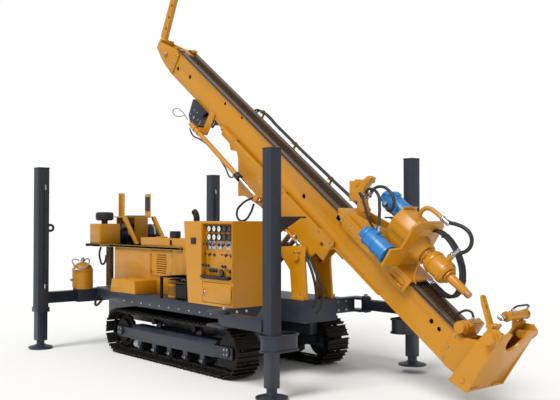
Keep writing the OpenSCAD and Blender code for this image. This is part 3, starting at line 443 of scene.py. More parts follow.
def rubber_cover(name, wrap_mm):
    """Synthetic rubber hose cover: cured in a cloth wrap, so matt black with a faint woven rise"""
    made, tree, out = new_material(name, "hose_rubber")
    place = add(tree, "TexCoord").outputs["Object"]
    cloud = add(tree, "TexNoise", {"Vector": place, "Scale": 1 / 0.05, "Detail": 4.0})
    cloth = add(tree, "TexWave", {"Vector": place, "Scale": 1000 / wrap_mm / 6.28,
                                  "Distortion": 1.5})
    tone = add(tree, "Mix", {0: cloud.outputs[0], 6: linear("#1B1B1C"), 7: linear("#2A2928")},
               data_type="RGBA")
    bump = add(tree, "Bump", {"Height": cloth.outputs["Fac"], "Strength": 0.15, "Distance": 0.002})
    skin = add(tree, "BsdfPrincipled", {"Base Color": tone.outputs[2], "Roughness": 0.48,
                                        "Normal": bump.outputs[0]})
    tree.links.new(skin.outputs[0], out.inputs[0])
    return made


rubber = rubber_cover("wrapped_rubber_hose", 6)
for leg, (x, y, half) in LEGS.items():
    inner = -1 if y > 0 else 1
    side = x - half if x > 0 else x + half
    out_x = side - 16 if x > 0 else side + 16
    low = 620 if x > 0 else 760
    ports = [(out_x, y + inner * 14, 1980), (out_x, y + inner * 14, low)]
    line = hose([ports[0], (out_x, y + inner * 14, 1700), (out_x, y + inner * 17, 1300),
                 (out_x, y + inner * 13, 950), ports[1]], 9)
    settle(line, "jack_hose_" + leg, rubber, "leg_" + leg)
    elbows = []
    for z, tip in ((1980, 1), (low, -1)):
        elbows.append(fitting((out_x, y + inner * 14, z), (0, 0, tip), 9))
        elbows.append(rod((side, y + inner * 14, z + tip * 24), (out_x, y + inner * 14,
            z + tip * 24), 11, 1, 16))
    settle(elbows, "jack_ports_" + leg, zinc, "leg_" + leg)
    clamps = [block(sorted((side, out_x + (-11 if x > 0 else 11))),
                    (y + inner * 14 - 12, y + inner * 14 + 12),
                    (z - 9, z + 9), 2) for z in (1720, 1250, 960)]
    settle(clamps, "jack_clamps_" + leg, black, "leg_" + leg)

# Collars of the front legs: rolled steel bent to an oblong ring with two rims, welded to the leg on
# short webs, that guide the pipes past the leg.
def turned(profile, base=(0, 0, 0), axis=(0, 0, 1), steps=32):
    """A turned part: its profile of radius and height is spun round its axis"""
    outline = bpy.data.meshes.new("profile")
    outline.from_pydata([(r / 1000, 0, h / 1000) for r, h in profile],
                        [(i, i + 1) for i in range(len(profile) - 1)], [])
    piece = bpy.data.objects.new("turned", outline)
    bpy.context.scene.collection.objects.link(piece)
    select_only(piece)
    bpy.ops.object.mode_set(mode="EDIT")
    bpy.ops.mesh.select_all(action="SELECT")
    bpy.ops.mesh.spin(steps=steps, angle=math.tau, center=(0, 0, 0), axis=(0, 0, 1))
    bpy.ops.mesh.select_all(action="SELECT")
    bpy.ops.mesh.remove_doubles(threshold=0.00002)
    bpy.ops.mesh.normals_make_consistent(inside=False)
    bpy.ops.object.mode_set(mode="OBJECT")
    piece.matrix_basis = (Matrix.Translation(Vector(base) / 1000)
                          @ Vector(axis).to_track_quat("Z", "X").to_matrix().to_4x4())
    return piece


COLLAR = [(93, 420), (115, 420), (115, 434), (101, 434), (101, 556), (115, 556), (115, 570),
          (93, 570),
          (93, 420)]
COLLAR_STRETCH = 0.17
for leg, y, inner in (("front_left", 960, -1), ("front_right", -960, 1)):
    collar = turned(COLLAR, steps=36)
    # One half of the ring is drawn 170 mm towards the middle of the rig
    for corner in collar.data.vertices:
        if corner.co.y * inner > 0.0005:
            corner.co.y += inner * COLLAR_STRETCH
    collar.matrix_basis = Matrix.Translation((2.029, y / 1000, 0))
    webs = [block((2029 - 99, 2029 + 99), sorted((y + inner * 60, y + inner * 92)), (z, z + 12), 2)
            for z in (422, 556)]
    settle([collar] + webs, "leg_collar_" + leg, navy, "leg_" + leg)

# Control console: a sheet steel cabinet bent at its corners and sprayed yellow, with a sunk panel
# for gauges and valve levers over a hinged door with a quarter-turn latch.
finished("console_housing", yellow)
dressed("console_door", yellow, 3)
PANEL = {"x": (740, 1250), "z": (985, 1555), "face": -804, "back": -754}
x0, x1 = PANEL["x"]
z0, z1 = PANEL["z"]
face, back = PANEL["face"], PANEL["back"]
tray = joined([
    block((x0, x1), (back, back + 8), (z0, z1), 1.5),
    block((x0, x0 + 8), (face, back), (z0, z1), 1.5), block((x1 - 8, x1), (face, back), (z0, z1),
        1.5),
    block((x0, x1), (face, back), (z0, z0 + 8), 1.5), block((x0, x1), (face, back), (z1 - 8, z1),
        1.5)])
settle(tray, "console_panel_tray", yellow, "chassis")
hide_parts("console_panel")
lip = joined([block((x0 - 9, x0 + 3), (face - 5, face), (z0 - 9, z1 + 5), 1.5),
              block((x1 - 3, x1 + 9), (face - 5, face), (z0 - 9, z1 + 5), 1.5),
              block((x0 - 9, x1 + 9), (face - 5, face), (z0 - 9, z0 + 3), 1.5)])
settle(lip, "console_panel_lip", yellow, "chassis")

# Pressure gauges: black pressed cases with a rolled bezel, printed dials and a red or black needle
# under glass; three white dials a row, two dark ones.
def dial_print(name, ground, mark):
    """Printed aluminium dial: a matt ground with a ring of fine marks in the object's place"""
    made, tree, out = new_material(name, "black_paint")
    place = add(tree, "TexCoord").outputs["Object"]
    fleck = add(tree, "TexNoise", {"Vector": place, "Scale": 1 / 0.006, "Detail": 2.0})
    spread = add(tree, "MapRange", {0: fleck.outputs[0], 1: 0.62, 2: 0.66, 3: 0.0, 4: 0.55})
    tone = add(tree, "Mix", {0: spread.outputs[0], 6: linear(ground), 7: linear(mark)},
               data_type="RGBA")
    skin = add(tree, "BsdfPrincipled", {"Base Color": tone.outputs[2], "Roughness": 0.5,
                                        "Coat Weight": 1.0, "Coat Roughness": 0.05})
    tree.links.new(skin.outputs[0], out.inputs[0])
    return made


white_dial = dial_print("white_gauge_dial", "#E9E9E4", "#8A8C8C")
dark_dial = dial_print("dark_gauge_dial", "#1C1D20", "#55585C")
cases, needles, dials = [], [], {white_dial: [], dark_dial: []}
for column in range(5):
    for row in range(2):
        spot = (830 + column * 84, back, 1495 - row * 84)
        cases.append(turned([(0, 0), (32, 0), (34, 6), (34, 20), (37, 22), (37, 27), (34, 29),
                             (30, 26),
                             (29, 20), (0, 20)], spot, (0, -1, 0)))
        dials[white_dial if column < 3 else dark_dial].append(
            rod((spot[0], back - 20.5, spot[2]), (spot[0], back - 22, spot[2]), 29, 0.3))
        turn = math.radians(215 - 37 * ((column * 3 + row * 2) % 5))
        tip = (spot[0] + 22 * math.cos(turn), back - 23.5, spot[2] + 22 * math.sin(turn))
        needles.append(rod((spot[0], back - 23.5, spot[2]), tip, 1.6, 0.4, 6))
        needles.append(rod((spot[0], back - 22, spot[2]), (spot[0], back - 26, spot[2]), 4, 0.5,
                           12))
settle(cases, "gauge_cases", black, "chassis")
for finish, discs in dials.items():
    settle(discs, "gauge_dials_" + finish.name.split("_")[0], finish, "chassis")
needle_red = enamel("red_needle_lacquer", "black_paint", "#B3261E", "#A02018", "#A02018", 0.4, 0.0)
settle(needles, "gauge_needles", needle_red, "chassis")

# Valve levers: bright steel rods in rubber boots, with round black or red phenolic knobs. The
# lower ones are longer and lean out of the recess over a dark ledge bar.
bakelite = enamel("black_phenolic_knob", "black_paint", "#17171A", "#101012", "#2A2A2A", 0.22, 0.05,
                  0.4)
SMALL = [(782, 1330), (836, 1330), (890, 1330), (980, 1330), (1034, 1330), (1124, 1330),
         (1206, 1330),
         (810, 1230), (896, 1230), (1086, 1230), (1170, 1230)]
TALL = [(836, 1075), (884, 1075), (932, 1075), (1166, 1075), (1210, 1075)]
boots, stems, knobs, red_knobs = [], [], [], []
for x, z in SMALL:
    boots.append(turned([(0, 0), (17, 0), (17, 3), (12, 6), (14, 9), (9, 13), (6, 16), (0, 16)],
                        (x, back, z), (0, -1, 0), 20))
    stems.append(rod((x, back - 14, z), (x, back - 44, z + 8), 3.5, 0.6, 12))
    (red_knobs if x in (980, 1086) else knobs).append(
        turned([(0, 0), (6, 1), (10, 8), (10, 14), (7, 20), (0, 22)], (x, back - 42, z + 8),
               (0, -1, 0.25), 20))
for x, z in TALL:
    boots.append(turned([(0, 0), (22, 0), (22, 4), (15, 8), (18, 13), (11, 18), (13, 22), (7, 28),
                         (0, 28)],
                        (x, back, z), (0, -1, 0), 20))
    stems.append(rod((x, back - 24, z), (x, back - 92, z + 46), 5, 0.8, 12))
    knobs.append(turned([(0, 0), (8, 1), (14, 10), (15, 20), (10, 29), (0, 32)],
                        (x, back - 90, z + 45), (0, -0.83, 0.56), 20))
knobs.append(turned([(0, 0), (12, 0), (12, 20), (34, 22), (36, 30), (34, 38), (0, 40)],
                    (1046, back, 1060), (0, -1, 0), 24))
for name, parts, finish in (("lever_boots", boots, rubber), ("lever_stems", stems, zinc),
                            ("lever_knobs", knobs, bakelite), ("red_lever_knobs", red_knobs,
                                needle_red)):
    settle(parts, name, finish, "chassis")
ledge = block((746, 1206), (face - 26, back), (1002, 1022), 3)
settle(ledge, "panel_ledge_bar", black, "chassis")
plates = [block((x, x + 76), (back - 5, back), (1285, 1375), 1.2) for x in (764, 846, 951, 1092)]
settle(plates, "lever_plates", zinc, "chassis")
bolts("panel_screws", [(x, back - 1, z) for x in (758, 1232) for z in (1003, 1180, 1370, 1537)],
      (0, -1, 0), 5, zinc, "chassis")

# Door latch, key socket and grab rail of the console: zinc plated fittings screwed to the sheet.
socket = joined([block((560, 640), (face - 12, face), (1335, 1400), 3),
                 rod((600, face - 12, 1368), (600, face - 18, 1368), 20, 1.5)])
settle(socket, "console_socket", black, "chassis")
latch = joined([turned([(0, 0), (22, 0), (22, 4), (17, 9), (0, 9)], (788, face, 850), (0, -1, 0),
                       28),
                block((783, 793), (face - 26, face - 8), (838, 862), 2)])
settle(latch, "console_door_latch", zinc, "console_door")
bolts("console_seam_screws", [(x, face - 1, z) for x in (520, 660)
                              for z in (760, 960, 1180, 1320, 1500)],
      (0, -1, 0), 4.5, zinc, "chassis")

# Engine hood: folded sheet panels under a flat roof, sprayed yellow. The service door hangs on two
# hinges and closes with two quarter-turn latches. Behind its pressed louvres lie black bars on a
# solid black sheet; the sheet is painted shade for the dark inside of the hood.
ROOF_TOP, HOOD_NEAR = 1270, -500
dressed("hood_body", yellow, 3)
dressed("hood_door", yellow, 2)
dressed("hood_roof", yellow, 3, lambda middle: yellow if middle.z > 1.2 else navy)
dressed("step_box", yellow, 4)
# Black bars on a solid black sheet: the sheet is painted shade, put where the dark inside of the
# hood shows through the louvres.
bars_and_shade_sheet = joined([block((-700, -280), (-468, -464), (932, 1213), 1)]
                + [rod((x, -470, 934), (x, -470, 1211), 3, 0.5, 8) for x in range(-690, -285, 18)])
settle(bars_and_shade_sheet, "hood_grille", black, "chassis")
lips = [block((-583 + 4 * abs(i - 4), -397 - 4 * abs(i - 4)), (-507, -500),
              (969 + i * 26, 973 + i * 26), 1)
        for i in range(9)]
settle(lips, "louvre_lips", yellow, "hood_door")
frame_x = [block((-722, -258), (-504, -500), (z, z + 8), 1) for z in (909, 1228)]
settle(frame_x, "hood_door_beads", yellow, "chassis")
catches = [turned([(0, 0), (19, 0), (19, 4), (13, 8), (0, 8)], (-300, HOOD_NEAR, z), (0, -1, 0),
                  24) for z in (975, 1170)]
catches += [block((-318, -282), (-514, -508), (z - 4, z + 4), 1.5) for z in (975, 1170)]
settle(catches, "hood_door_catches", zinc, "hood_door")
bolts("hood_screws", [(x, -501, z) for x in (-1540, -1250, -960, -90) for z in (765, 990, 1215)],
      (0, -1, 0), 6,
      zinc, "chassis")
bolts("hood_screws_left", [(x, 621, z) for x in (-1540, -1250, -960, -670, -380, -90)
                           for z in (765, 1215)],
      (0, 1, 0), 6, zinc, "chassis")
seams = [block((x - 2, x + 2), (620, 623), (740, 1238), 0.8) for x in (-1180, -640)]
seams += [block((hx - 40, hx + 40), (620, 628), (960, 972), 2) for hx in (-1380, -910, -350)]
settle(seams, "hood_panel_beads", yellow, "chassis")
side_louvres = [block((x, x + 150), (619, 627), (z, z + 5), 1.5) for x in (-1020, -850)
                for z in range(880, 1120, 24)]
settle(side_louvres, "left_side_louvres", yellow, "chassis")
rails = [hose([(x, 480, 1270), (x, 480, 1300), (x + 30, 480, 1318), (x + 170, 480, 1318),
               (x + 200, 480, 1300),
               (x + 200, 480, 1270)], 7) for x in (-760, -420)]
settle(rails, "roof_lifting_handles", navy, "chassis")
bolts("roof_bolts", [(x, 600, ROOF_TOP) for x in range(-1980, -60, 240)] + [(x, -478, ROOF_TOP)
    for x in (-1640, -1300)],
      (0, 0, 1), 7, zinc, "chassis")

# Exhaust: a drawn steel pipe blackened by heat, with a band clamp and a turned-over mouth.
EXHAUST_X, EXHAUST_Y = -1050, 390


def bolt_circle(x, y, z, radius, angles):
    """Places of bolts on a level circle"""
    return [(x + radius * math.cos(a), y + radius * math.sin(a), z) for a in angles]


soot = metal("heat_blackened_steel", "black_paint", "#1E1B19", "#3A2F29", 0.62, 60, 0.5, 0.3)
finished("exhaust_pipe", soot)
bands = [turned([(44, 0), (49, 0), (49, 14), (44, 14)], (EXHAUST_X, EXHAUST_Y, z))
         for z in (1300, 1540)]
bands.append(block((-1058, -1042), (338, 352), (1301, 1313), 1.5))
settle(bands, "exhaust_clamps", zinc, "chassis")
flange = turned([(44, 0), (78, 0), (78, 8), (44, 8)], (EXHAUST_X, EXHAUST_Y, ROOF_TOP))
settle(flange, "exhaust_flange", soot, "chassis")
bolts("exhaust_flange_bolts", bolt_circle(EXHAUST_X, EXHAUST_Y, 1278, 64, (0.78, 2.36, 3.93, 5.5)),
      (0, 0, 1), 7, zinc, "chassis")

# Hydraulic tank: a welded tank beside the engine with a black vented cap on its filler neck, a
# sight glass in a steel guard and a return filter lid with a ring of screws.
dressed("hydraulic_tank", yellow, 4, lambda middle: yellow)
CAP_X, CAP_Y = -330, -415
cap = turned([(56.5, 0), (62, 0), (62, 10), (59, 14), (59, 60), (63, 64), (63, 78), (56, 81),
              (20, 81), (0, 81)],
             (CAP_X, CAP_Y, 1370))
ribs = [block((CAP_X - 2, CAP_X + 2), (CAP_Y + 58, CAP_Y + 64), (1386, 1428), 1)]
for turn in range(12):
    a = turn * math.tau / 12
    foot, = bolt_circle(CAP_X, CAP_Y, 1386, 60, (a,))
    top, = bolt_circle(CAP_X, CAP_Y, 1428, 60, (a,))
    ribs.append(rod(foot, top, 4, 0.8, 8))
settle([cap] + ribs, "tank_cap", black, "chassis")
sight = joined([block((-300, -272), (-508, -500), (1288, 1352), 2),
                rod((-286, -512, 1296), (-286, -512, 1344), 6, 1)])
settle(sight, "tank_sight_gauge", black, "chassis")
lid = turned([(0, 0), (70, 0), (70, 9), (60, 12), (0, 12)], (-640, -400, 1370))
settle(lid, "return_filter_lid", yellow, "chassis")
bolts("return_filter_bolts", bolt_circle(-640, -400, 1380, 60, (0.5, 1.55, 2.6, 3.65, 4.7, 5.75)),
      (0, 0, 1), 6, zinc, "chassis")

# Shelf with the starter battery and the fuel filter: folded galvanised sheet on black posts, a
# ribbed plastic battery case with its leads, and a painted spin-on can.
shelf_zinc = metal("galvanised_sheet", "bright_steel", "#B4B7B8", "#8F9395", 0.5, 30, 0.7)
dressed("battery_shelf", shelf_zinc, 2,
        lambda middle: shelf_zinc if middle.z > 0.93 else (yellow if middle.x < -0.8 else black))
ribs = [block((200 + i * 23 + 3, 200 + i * 23 + 16), (-764, -760), (745, 890), 1.5)
        for i in range(10)]
ribs += [block((430, 434), (-748 + i * 24, -734 + i * 24), (745, 890), 1.5) for i in range(8)]
lid = block((196, 434), (-764, -556), (900, 917), 3)
settle(ribs + [lid], "battery_ribs", black, "chassis")
posts = [rod((x, -700, 915), (x, -700, 934), 9, 1.5, 20) for x in (240, 390)]
posts += [block((x - 14, x + 14), (-714, -686), (920, 930), 2) for x in (240, 390)]
settle(posts, "battery_terminals", zinc, "chassis")
lead_red = rubber_cover("red_battery_lead", 4)
lead_red.node_tree.nodes["Mix"].inputs[6].default_value = linear("#A3211B")
lead_red.node_tree.nodes["Mix"].inputs[7].default_value = linear("#7C1A16")
settle(hose([(390, -700, 924), (350, -720, 932), (300, -650, 936), (250, -560, 930),
             (230, -505, 900)], 7),
       "battery_lead_red", lead_red, "chassis")
settle(hose([(240, -700, 924), (200, -715, 930), (170, -660, 925), (160, -560, 880),
             (160, -505, 860)], 7),
       "battery_lead_black", rubber, "chassis")
can = [turned([(75, 0), (78, 2), (78, 12), (75, 14)], (70, -680, z)) for z in (742, 868)]
can.append(turned([(0, 0), (40, 0), (62, -4), (76, -12), (76, -20), (75, -22)], (70, -680, 938)))
settle(can, "filter_can_seams", yellow, "chassis")
settle(fitting((70, -590, 890), (0, 1, 0), 12), "filter_port", zinc, "chassis")

# Air intake: a yellow sheet box carries a moulded black pre-cleaner bowl, and an elbow leads to the
# air cleaner, a rolled steel drum that lies across the roof in two saddles under a black end cap.
box = joined([block((-2016, -1740), (-616, -330), (1271, 1530), 4),
              block((-2000, -1755), (-620, -616), (1290, 1352), 2),
              block((-2000, -1755), (-620, -616), (1372, 1512), 2),
              block((-2020, -2016), (-586, -360), (1290, 1512), 2)])
settle(box, "intake_box_panels", yellow, "chassis")
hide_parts("intake_box")
BOWL_X, BOWL_Y = -1880, -480
bowl = turned([(0, 0), (40, 0), (40, 38), (60, 41), (95, 41), (112, 56), (115, 62), (115, 70),
               (111, 73),
               (111, 80), (115, 83), (115, 122), (108, 130), (112, 134), (98, 146), (60, 150),
               (0, 150)],
              (BOWL_X, BOWL_Y, 1530), (0, 0, 1), 44)
fins = []
for turn in range(20):
    a = turn * math.tau / 20
    foot, = bolt_circle(BOWL_X, BOWL_Y, 1614, 113, (a,))
    top, = bolt_circle(BOWL_X, BOWL_Y, 1652, 113, (a,))
    fins.append(rod(foot, top, 3, 0.5, 6))
settle([bowl] + fins, "precleaner_bowl", black, "chassis")
bolts("intake_screws", [(x, -620, z) for x in (-1992, -1878, -1764)
                        for z in (1298, 1344, 1380, 1504)],
      (0, -1, 0), 6, zinc, "chassis")
bracket = joined([block((-2060, -1704), (-644, -320), (1262, 1274), 2),
                  block((-2084, -2078), (-644, -300), (1236, 1272), 2)])
settle(bracket, "intake_bracket", black, "chassis")
dressed("air_cleaner", navy, 3)
CLEANER_X, CLEANER_Z = -1930, 1402
end_cap = turned([(0, 0), (95, 0), (112, 6), (121, 14), (121, 46), (118, 50), (119, 60)],
                 (CLEANER_X, -296, CLEANER_Z), (0, 1, 0), 40)
grip = hose([(-1980, -297, 1430), (-1980, -312, 1430), (-1960, -322, 1418), (-1900, -322, 1386),
             (-1880, -312, 1376),
             (-1880, -297, 1376)], 6)
settle([end_cap, grip], "air_cleaner_cap", black, "chassis")
straps = [turned([(118, 0), (122, 0), (122, 26), (118, 26)], (CLEANER_X, y, CLEANER_Z), (0, 1, 0),
                 40)
          for y in (-173, 60, 227)]
settle(straps, "air_cleaner_straps", zinc, "chassis")
settle(hose([(-1865, -300, 1400), (-1850, -270, 1430), (-1835, -235, 1470), (-1800, -190, 1490)],
            36, 5),
       "intake_elbow", rubber, "chassis")
settle(hose([(-1995, -470, 1222), (-2012, -480, 1150), (-2010, -470, 1060), (-1980, -450, 1000),
             (-1950, -430, 1040), (-1945, -420, 1120)], 13), "drain_hose", rubber, "chassis")

# Mast cradle: a saddle plate on two uprights of angle section that stop the lowered mast from
# swaying, with bolted rubber pads and a sloping brace down to the roof.
dressed("mast_cradle", yellow, 3)
pads = [block((-1986, -1874), (sign * 187, sign * 195) if sign < 0 else (187, 195), (1700, 1890), 3)
        for sign in (-1, 1)]
pads.append(block((-2040, -1820), (-90, 90), (1625, 1637), 3))
settle(pads, "cradle_pads", rubber, "chassis")
bolts("cradle_bolts", [(x, -204, z) for x in (-1980, -1880) for z in (1670, 1760, 1850, 1905)],
      (0, -1, 0), 8,
      zinc, "chassis")
bolts("cradle_foot_bolts", [(x, y, 1270) for x in (-2060, -1800) for y in (-150, 150)], (0, 0, 1),
      9, zinc, "chassis")

# Lubricator: a spun steel oil bottle for the hammer with a bright filler neck, a shut-off cock and
# bent steel pipes round its shoulder.
OILER_X, OILER_Y = -1950, -750
dressed("lubricator_tank", yellow, 2, lambda middle: yellow if middle.z < 1.0 else zinc)
neck = joined([turned([(0, 0), (34, 0), (34, 10), (24, 14), (24, 34), (0, 34)],
                      (OILER_X, OILER_Y, 1050)),
               rod((OILER_X, OILER_Y, 1084), (OILER_X, OILER_Y, 1100), 20, 3, 6)])
settle(neck, "lubricator_neck", zinc, "chassis")
pipes = [hose([(-1950, -735, 1062), (-1930, -700, 1080), (-1870, -700, 1060), (-1835, -740, 1000),
               (-1835, -790, 960), (-1870, -880, 955), (-1935, -900, 960)], 9),
         hose([(-1950, -800, 1062), (-2000, -840, 1078), (-2060, -840, 1050), (-2085, -800, 990),
               (-2088, -750, 900), (-2060, -700, 880)], 9),
         rod((-1950, -893, 820), (-1950, -908, 820), 14, 2), rod((-1950, -908, 820),
             (-1950, -922, 820), 20, 3, 6)]
settle(pipes, "lubricator_pipes", zinc, "chassis")
belt = joined([turned([(130, 0), (134, 1), (134, 17), (130, 18)], (OILER_X, OILER_Y, z))
               for z in (790, 930)])
settle(belt, "lubricator_belts", yellow, "chassis")
bolts("lubricator_foot_bolts", bolt_circle(OILER_X, OILER_Y, 700, 52, (0.8, 2.4, 3.9, 5.5)),
      (0, 0, 1), 7, zinc, "chassis")
settle(hose([(-1860, -560, 640), (-1800, -640, 560), (-1700, -700, 510), (-1590, -720, 530),
             (-1530, -700, 590)], 15),
       "deck_rear_hose", rubber, "chassis")

# Mast support: flame-cut ears on the front pedestal carry the pivot pin of the lift carriage, and
# two hydraulic cylinders between navy lugs on the deck and the carriage raise it. Barrels are
# honed tube under navy enamel with screwed glands, rods are hard chromed.
chrome = metal("hard_chromed_rod", "bright_steel", "#D3D6D8", "#BFC3C6", 0.14, 25)
dressed("support_ears", yellow, 3, lambda middle: yellow if middle.x > 0 else navy)
PIVOT = (1513, 1213.7)
caps = [rod((PIVOT[0], sign * 206, PIVOT[1]), (PIVOT[0], sign * 214, PIVOT[1]), 36)
        for sign in (-1, 1)]
caps += [block((PIVOT[0] - 52, PIVOT[0] + 52), sorted((sign * 187, sign * 193)),
               (PIVOT[1] + 34, PIVOT[1] + 60), 2)
         for sign in (-1, 1)]
settle(caps, "pivot_pin_caps", yellow, "chassis")
bolts("pivot_keeper_bolts", [(PIVOT[0] + d, -193, PIVOT[1] + 47) for d in (-36, 36)], (0, -1, 0), 9,
      zinc, "chassis")
bolts("support_foot_bolts", [(x, y, 830) for x in (1480, 1545, 1610) for y in (-202, 202)],
      (0, 0, 1), 11,
      zinc, "chassis")
dressed("lift_barrels", navy, 2)
finished("lift_rods", chrome)
LIFT_TURN = math.atan2(703.3, 852.6)
LIFT = (Matrix.Translation((-0.43, 0, 0.8)) @ Matrix.Rotation(-LIFT_TURN, 4, "Y"))
glands = [turned([(29, 0), (50, 0), (50, 14), (46, 18), (46, 34), (29, 36)], (776, y, 0),
                 (1, 0, 0)) for y in (-62, 62)]
settle(glands, "lift_glands", black, "lift_barrel", LIFT)
ports, pipes = [], []
for y in (-62, 62):
    for d in (96, 700):
        ports.append(block((d - 18, d + 18), (y - 16, y + 16), (44, 66), 3))
        ports.append(fitting((d + (40 if d < 400 else -40), y, 80), (-1 if d < 400 else 1, 0, 0),
                             8))
        ports.append(rod((d, y, 60), (d, y, 82), 9, 1, 12))
    pipes.append(hose([(128, y, 80), (300, y + 3, 82), (520, y - 2, 79), (668, y, 80)], 8))
settle(ports, "lift_ports", zinc, "lift_barrel", LIFT)
settle(pipes, "lift_pipes", rubber, "lift_barrel", LIFT)

# Lift carriage: two profile-cut plates joined by cross plates, a welded fabrication that hooks
# round the guide strips of the mast and slides under it on bronze pads.
MAST_TILT = math.radians(36)
MAST = Matrix(((math.sin(MAST_TILT), 0, -math.cos(MAST_TILT), 2.32), (0, 1, 0, 0),
               (math.cos(MAST_TILT), 0, math.sin(MAST_TILT), 0.372), (0, 0, 0, 1)))
CARRIAGE = [(50, 3800), (0, 3800), (-30, 3573), (-87, 3503), (-40, 3400), (-90, 3329), (-423, 3088),
            (-354, 2988), (-295, 2710), (-287, 2330), (-240, 2130), (-190, 2060), (-380, 1975),
            (-412, 1900), (-380, 1825), (-172, 1750), (-172, 1626), (-19, 1618), (50, 1600)]
PADS = ((1630, 1850), (2480, 2700), (3500, 3780))
frame_parts = []
for sign in (-1, 1):
    cut = bored(plate(CARRIAGE, sign * 130, sign * 150, 4), rod((-340, 90 * sign, 1900),
        (-340, 170 * sign, 1900), 30.5, 0),
                rod((-50, 90 * sign, 1730), (-50, 170 * sign, 1730), 24, 0))
    frame_parts.append(cut)
    frame_parts.append(turned([(30.5, 0), (62, 0), (62, 26), (30.5, 26), (30.5, 0)],
                              (-340, sign * 130, 1900), (0, sign, 0)))
    frame_parts += [block((17.5, 50), sorted((sign * 96.5, sign * 131)), pad, 3) for pad in PADS]
frame_parts += [block((-40, -14), (-131, 131), span, 3) for span in ((1626, 2000), (2450, 3780))]
frame_parts += [block((-14, -1.5), (-118, 118), pad, 2) for pad in PADS]
frame_parts.append(block((-280, -39), (-131, 131), (3150, 3170), 3))
frame_parts.append(block((-235, -165), (-257, -149), (2690, 2750), 4))
carriage = settle(frame_parts, "lift_carriage", yellow, "carriage", MAST)
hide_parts("mast_carriage")
SLIDE_T, SLIDE_Y = -200, -222
slide = joined([turned([(0, 2700), (14, 2700), (15, 2704), (15, 3948), (13, 3950), (0, 3950)],
                       (SLIDE_T, SLIDE_Y, 0), (0, 0, 1), 24),
                rod((SLIDE_T, SLIDE_Y, 2751), (SLIDE_T, SLIDE_Y, 2776), 26, 2, 6),
                rod((SLIDE_T, SLIDE_Y, 2664), (SLIDE_T, SLIDE_Y, 2690), 26, 2, 6)])
settle(slide, "slide_rod_chromed", chrome, "carriage", MAST)
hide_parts("slide_rod")
pad_spots = [(33, -130.5, s) for span in ((1650, 1830), (2500, 2680), (3520, 3760)) for s in span]
bolts("carriage_pad_bolts", [(t, -150, s) for t, y, s in pad_spots], (0, -1, 0), 10, zinc,
      "carriage", MAST)
bolts("carriage_pad_bolts_left", [(t, 150, s) for t, y, s in pad_spots], (0, 1, 0), 10, zinc,
      "carriage", MAST)
ring = [turned([(62, 0), (78, 0), (78, 6), (62, 8)], (-340, sign * 149, 1900), (0, sign, 0), 36)
        for sign in (-1, 1)]
settle(ring, "carriage_pivot_rings", yellow, "carriage", MAST)
welds = [hose([(-43, sign * 128, 1640), (-43, sign * 128, 1990)], 5, 2) for sign in (-1, 1)]
welds += [hose([(-43, sign * 128, 2460), (-43, sign * 128, 3770)], 5, 2) for sign in (-1, 1)]
settle(welds, "carriage_welds", yellow, "carriage", MAST)
pipe_yellow = hose([(-250, -158, 2250), (-236, -166, 2200), (-238, -166, 2090), (-244, -162, 2030)],
                   13)
settle(pipe_yellow, "carriage_pipe", yellow, "carriage", MAST)
ends = [fitting((-236, -160, 2005), (0, 0, 1), 14), fitting((-236, -160, 1925), (0, 0, 1), 13)]
ends.append(block((-262, -214), (-172, -150), (2215, 2265), 3))
settle(ends, "carriage_fittings", zinc, "carriage", MAST)
loops = [hose([(-236, -160, 1880), (-250, -172, 1760), (-300, -186, 1600), (-360, -190, 1450),
               (-450, -186, 1370),
               (-560, -180, 1350), (-620, -172, 1372)], 13),
         hose([(-262, -160, 1880), (-290, -178, 1740), (-350, -196, 1590), (-430, -204, 1480),
               (-520, -200, 1420),
               (-600, -186, 1430)], 13)]
settle(loops, "carriage_hoses", rubber, "chassis", MAST)
rear_loop = hose([(-270, -160, 2830), (-330, -186, 2880), (-430, -200, 2930), (-540, -196, 2950),
                  (-600, -180, 2900),
                  (-560, -168, 2820), (-440, -158, 2790), (-330, -158, 2800)], 12)
settle(rear_loop, "carriage_rear_hose", rubber, "carriage", MAST)

# Mast beam: a welded box of bent plate, 190 by 318 mm, with lightening holes in its side. Two flat
# guide rails are bolted to its front, brown with grease and bright where the head's shoes rub.
dressed("mast_beam", yellow, 5)
strips = [block((0.5, 16), sorted((sign * 94, sign * 120)), (900, 3900), 2) for sign in (-1, 1)]
settle(strips, "carriage_strips", yellow, "mast", MAST)


def greased_rail():
    """Flat bar under old grease: brown and wet, with a worn bright line along its middle"""
    made, tree, out = new_material("greased_flat_bar", "greased_steel")
    place = add(tree, "SeparateXYZ", {0: add(tree, "TexCoord").outputs["Object"]})
    cloud = add(tree, "TexNoise", {"Vector": add(tree, "TexCoord").outputs["Object"],
                                   "Scale": 1 / 0.035,
                                   "Detail": 5.0})
    across = add(tree, "Math", {0: place.outputs[1]}, operation="ABSOLUTE")
    off = add(tree, "Math", {0: across.outputs[0], 1: 0.098}, operation="SUBTRACT")
    near = add(tree, "Math", {0: off.outputs[0]}, operation="ABSOLUTE")
    # The shoes rub a line 14 mm wide, 98 mm from the mast's middle
    worn = add(tree, "MapRange", {0: near.outputs[0], 1: 0.005, 2: 0.010, 3: 0.8, 4: 0.0})
    film = add(tree, "Mix", {0: cloud.outputs[0], 6: linear("#54402C"), 7: linear("#33281E")},
               data_type="RGBA")
    tone = add(tree, "Mix", {0: worn.outputs[0], 6: film.outputs[2], 7: linear("#8D8072")},
               data_type="RGBA")
    bump = add(tree, "Bump", {"Height": cloud.outputs[0], "Strength": 0.3, "Distance": 0.003})
    skin = add(tree, "BsdfPrincipled", {"Base Color": tone.outputs[2], "Roughness": 0.32,
                                        "Metallic": 0.3,
                                        "Normal": bump.outputs[0]})
    tree.links.new(skin.outputs[0], out.inputs[0])
    return made


